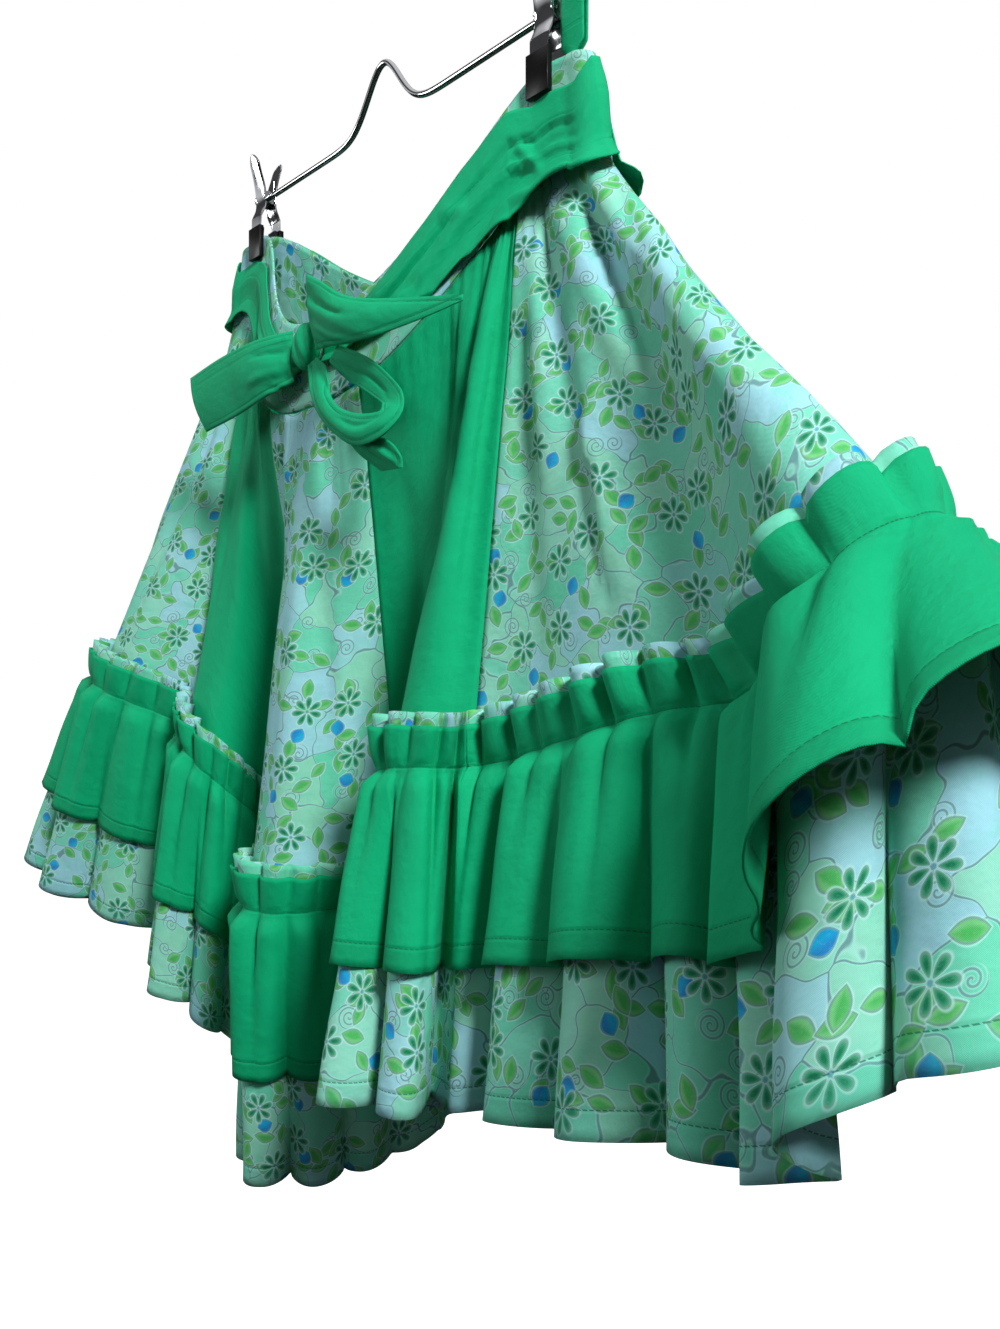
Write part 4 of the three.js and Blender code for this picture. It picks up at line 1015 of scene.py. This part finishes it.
def leaf(shade, local, at, turn, long, wide):
    """Below 0 inside a pointed leaf with its stem end at a place: about the distance in mm."""
    x, y, _ = shade.apart(shade.turned(shade.vector("SUBTRACT", local, (*at, 0.0)), turn))
    bulge = ((x - long) * (1 / long)).math("POWER", 2.0)
    return (bulge + abs(y) * (1 / wide) - 1.0) * (wide * 0.72), y


def spiral(shade, local, radius, pitch):
    """Distance in mm from a spiral line that ends at a radius."""
    away, angle = polar(shade, local)
    turn = ((away - angle * (pitch / TURN)) * (1 / pitch)).math("FRACT")
    return abs(turn - 0.5) * pitch + (away - radius).math("MAXIMUM", 0.0) * 4.0


def flower(shade, local, petals, reach, wide):
    """Below 0 inside a ring of apart, drop-shaped petals: about the distance in mm."""
    away, angle = polar(shade, local)
    step = TURN / petals
    near = ((angle * (1 / step)).math("FRACT") - 0.5) * step
    px = (away * near.math("COSINE") - reach * 0.64) * (1 / (reach * 0.36))
    drop = (px * 0.3 + 0.85).math("MAXIMUM", 0.3)
    py = away * near.math("SINE") * (1 / wide) / drop
    return ((px * px + py * py).math("SQRT") - 1.0) * wide, away


def lay(shade, ground, shape, fill, outline, halo, edge=0.5):
    """Lays a filled shape with a thin soft outline and a pale halo over the ground."""
    ground = shade.mix(shade.fade(shape, edge + 0.4, edge + 1.0, 0.65), ground, halo)
    ground = shade.mix(shade.fade(shape, edge, edge + 0.35, 0.75), ground, outline)
    return shade.mix(shade.fade(shape, -0.25, 0.3), ground, fill)


PRINT_SIZE, PATCH_SIZE = 1.14, 29.0
# Scatters of the print. Spirals: size, shift, radius. Leaves: size, shift, then each leaf's stem
# end, turn, length and half width.
SPIRALS = ((33.0, (3.0, 11.0), 6.2), (47.0, (21.0, 29.0), 5.0))
LEAVES = (
    (44.0, (0.0, 0.0), (((1.6, 0.9), 0.5, 6.6, 3.1), ((-1.4, -0.6), 3.3, 5.6, 2.7))),
    (41.0, (25.0, 7.0), (((1.2, -1.0), 1.3, 5.8, 2.6), ((-1.0, 0.8), 4.4, 6.4, 3.0))),
    (37.0, (9.0, 17.0), (((-4.0, 0.5), -0.4, 6.2, 3.2),)),
)


def make_print_cloth():
    shade = Shade("print_cotton", Roughness=0.8, Sheen_Weight=0.03, Sheen_Roughness=0.5,
                  Specular_IOR_Level=0.18)
    cloth_place = flat_place(shade)
    place = shade.vector("MULTIPLY", cloth_place, (PRINT_SIZE, PRINT_SIZE, 0.0))
    wobble = shade.noise(place, 0.045, 1.0, 0.4, "Color")
    wobble = shade.vector("SUBTRACT", wobble, (0.5, 0.5, 0.5))
    bent = shade.vector("ADD", place, shade.vector("MULTIPLY", wobble, (38.0, 38.0, 0.0)))
    kind, tint, _ = shade.apart(shade.cells(bent, PATCH_SIZE, 0.95)["Color"])
    wash = shade.noise(place, 0.05, 4.0, 0.6)
    vine = shade.cells(bent, PATCH_SIZE, 0.95, "DISTANCE_TO_EDGE")["Distance"] * PATCH_SIZE
    grey, halo, rim = srgb(92, 138, 144), srgb(176, 224, 222), srgb(86, 142, 114)
    ground = srgb(96, 204, 168)
    for share, colour in ((shade.ramp(kind, 0.40, 0.44), srgb(150, 206, 220)),
                          (shade.ramp(kind, 0.68, 0.72), srgb(134, 210, 182)),
                          (shade.ramp(wash, 0.45, 0.75, 0.0, 0.5), srgb(98, 206, 176)),
                          (tint * 0.3, srgb(150, 218, 208)),
                          (shade.fade(vine, 0.7, 1.4, 0.4), halo),
                          (shade.fade(vine, 0.25, 0.75, 0.85), grey)):
        ground = shade.mix(share, ground, colour)

    for size, shift, radius in SPIRALS:
        local, chance = local_place(shade, place, size, shift)
        curl = spiral(shade, local, radius, 2.7)
        there = shade.ramp(chance[1], 0.22, 0.23)
        ground = shade.mix(shade.fade(curl, 0.55, 1.2, 0.4) * there, ground, halo)
        ground = shade.mix(shade.fade(curl, 0.18, 0.62, 0.8) * there, ground, grey)

    for size, shift, sprig in LEAVES:
        local, _ = local_place(shade, place, size, shift)
        for at, turn, long, wide in sprig:
            shape, across = leaf(shade, local, at, turn, long, wide)
            depth = shade.fade(shape + across * 0.35, -2.0, 0.2)
            fill = shade.mix(depth, srgb(112, 196, 126), srgb(72, 176, 92))
            ground = lay(shade, ground, shape, fill, rim, halo)

    local, chance = local_place(shade, place, 45.0, (30.0, 8.0), 0.7)
    bud, across = leaf(shade, local, (-4.6, 0.0), 0.0, 5.0, 3.9)
    fill = shade.mix(shade.ramp(across, -2.0, 2.4), srgb(18, 166, 216), srgb(34, 134, 200))
    bud = bud + (1.0 - shade.ramp(chance[2], 0.18, 0.19)) * 9.0
    ground = lay(shade, ground, bud, fill, srgb(70, 140, 170), halo)

    local, _ = local_place(shade, place, 42.0, (17.0, 5.0))
    petals, away = flower(shade, local, 7, 9.0, 1.7)
    fill = shade.mix(shade.ramp(petals, -1.2, 0.0), srgb(16, 122, 84), srgb(62, 158, 120))
    ground = lay(shade, ground, petals, fill, rim, halo, edge=0.3)

    grain = shade.noise(place, 0.9, 3.0, 0.6)
    thread, groove, doubled = stitches(shade, cloth_place)
    for share, colour in ((shade.fade(away, 0.7, 1.4, 0.8), srgb(84, 150, 170)),
                          (shade.ramp(grain, 0.5, 0.85, 0.0, 0.14), srgb(190, 232, 224)),
                          (doubled * 0.22, srgb(70, 160, 140)), (thread * 0.8, srgb(16, 110, 84))):
        ground = shade.mix(share, ground, colour)
    shade.dress(Base_Color=ground, Normal=weave_bump(shade, cloth_place, groove, 0.5))
    return shade.material


# ---- stage, light and camera ----
# Brightness of the surroundings by height above the horizon, for soft light and for reflections.
SKY = ((0.0, 0.05), (0.9, 0.42))
SHOWROOM = ((0.0, 0.02), (0.12, 0.03), (0.2, 0.6), (0.34, 0.8), (0.44, 0.06), (0.7, 0.08),
            (0.86, 0.9))


def make_stage():
    bm = bmesh.new()
    bmesh.ops.create_circle(bm, cap_ends=True, segments=96, radius=40.0)
    bmesh.ops.translate(bm, vec=(0, 0, -1.55), verts=bm.verts)
    mesh = mesh_from("floor", bm)
    shade = Shade("pale_floor", Roughness=0.9, Emission_Color=(1, 1, 1, 1), Emission_Strength=0.8)
    tone = shade.noise(object_place(shade), 1.5)
    shade.dress(Base_Color=shade.mix(tone, (0.93, 0.93, 0.93), (0.96, 0.96, 0.96)))
    mesh.materials.append(shade.material)
    floor = bpy.data.objects.new("floor", mesh)
    bpy.context.scene.collection.objects.link(floor)
    floor.visible_diffuse = False
    floor.visible_glossy = False
    floor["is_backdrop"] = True
    world = bpy.data.worlds.new("studio")
    bpy.context.scene.world = world
    world.use_nodes = True
    tree = world.node_tree
    out = next(n for n in tree.nodes if n.type == "OUTPUT_WORLD")
    back = next(n for n in tree.nodes if n.type == "BACKGROUND")
    way, parts = tree.nodes.new("ShaderNodeTexCoord"), tree.nodes.new("ShaderNodeSeparateXYZ")
    tree.links.new(way.outputs["Generated"], parts.inputs[0])
    seen = tree.nodes.new("ShaderNodeLightPath")
    sky = back
    for ray, stops in (("", SKY), ("Is Glossy Ray", SHOWROOM), ("Is Camera Ray", ((0, 1), (1, 1)))):
        ramp = tree.nodes.new("ShaderNodeValToRGB")
        tree.links.new(parts.outputs["Z"], ramp.inputs["Fac"])
        while len(ramp.color_ramp.elements) < len(stops):
            ramp.color_ramp.elements.new(1.0)
        for element, (height, level) in zip(ramp.color_ramp.elements, stops):
            element.position, element.color = height, (level, level, level, 1)
        here = back if not ray else tree.nodes.new("ShaderNodeBackground")
        tree.links.new(ramp.outputs[0], here.inputs["Color"])
        if ray:
            pick = tree.nodes.new("ShaderNodeMixShader")
            tree.links.new(seen.outputs[ray], pick.inputs[0])
            tree.links.new(sky.outputs[0], pick.inputs[1])
            tree.links.new(here.outputs[0], pick.inputs[2])
            sky = pick
    tree.links.new(sky.outputs[0], out.inputs[0])


def make_light(name, place, target, size, power, colour=(1, 1, 1)):
    lamp = bpy.data.lights.new(name, "AREA")
    lamp.shape = "DISK"
    lamp.size = size
    lamp.energy = power
    lamp.color = colour
    holder = bpy.data.objects.new(name, lamp)
    holder.location = place
    holder.rotation_euler = (Vector(target) - Vector(place)).to_track_quat("-Z", "Y").to_euler()
    bpy.context.scene.collection.objects.link(holder)


def make_camera():
    lens = bpy.data.cameras.new("camera")
    lens.lens = 1000 * 36 / 1329
    lens.sensor_width = 36
    lens.shift_y = -16.5 / 1329
    lens.clip_start = 0.02
    holder = bpy.data.objects.new("camera", lens)
    holder.location = (0.5246, -0.3792, -0.3738)
    holder.rotation_euler = (math.radians(90), 0, math.radians(47.5))
    bpy.context.scene.collection.objects.link(holder)
    bpy.context.scene.camera = holder


make_camera()
make_stage()
make_light("key", (1.8, -0.55, 1.0), (0.0, 0, -0.35), 0.5, 68, (1.0, 1.0, 1.0))
make_light("fill", (-1.6, -1.7, 0.2), (-0.1, 0, -0.35), 1.0, 20, (0.97, 0.99, 1.0))
bpy.context.scene.view_settings.view_transform = "Standard"

MATERIALS = {"print_cloth": make_print_cloth(), "green_cloth": make_green_cloth(),
             "chrome": make_chrome(), "vinyl": make_vinyl()}
make_waistband()
make_gores()
for kind, heading, length, rows, stand_off in (
        ("print", PRINT_HEADING, PRINT_FLOUNCE, 34, print_stand_off),
        ("green", GREEN_HEADING, GREEN_FLOUNCE, 24, green_stand_off)):
    down = [r * heading for r in np.linspace(-1, 0, 9)[:-1]] + list(np.linspace(0, length, rows))
    make_flounce(kind, down, stand_off, lift=kind == "green")
for name, table in SASHES.items():
    make_sash(name, table, SASH_BACK_FOLDS if name == "sash_back" else SASH_FOLDS)
for name, table in BOW.items():
    make_ribbon(name, table, BOW_STEPS.get(name, 84))
make_knot()
make_strap()
make_wire()
make_clip("clip_left", -CLIP_X)
make_clip("clip_right", CLIP_X)

boxes = {"cad": CAD_BOX, "visual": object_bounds()}
{key: [list(corner) for corner in box] for key, box in boxes.items()}
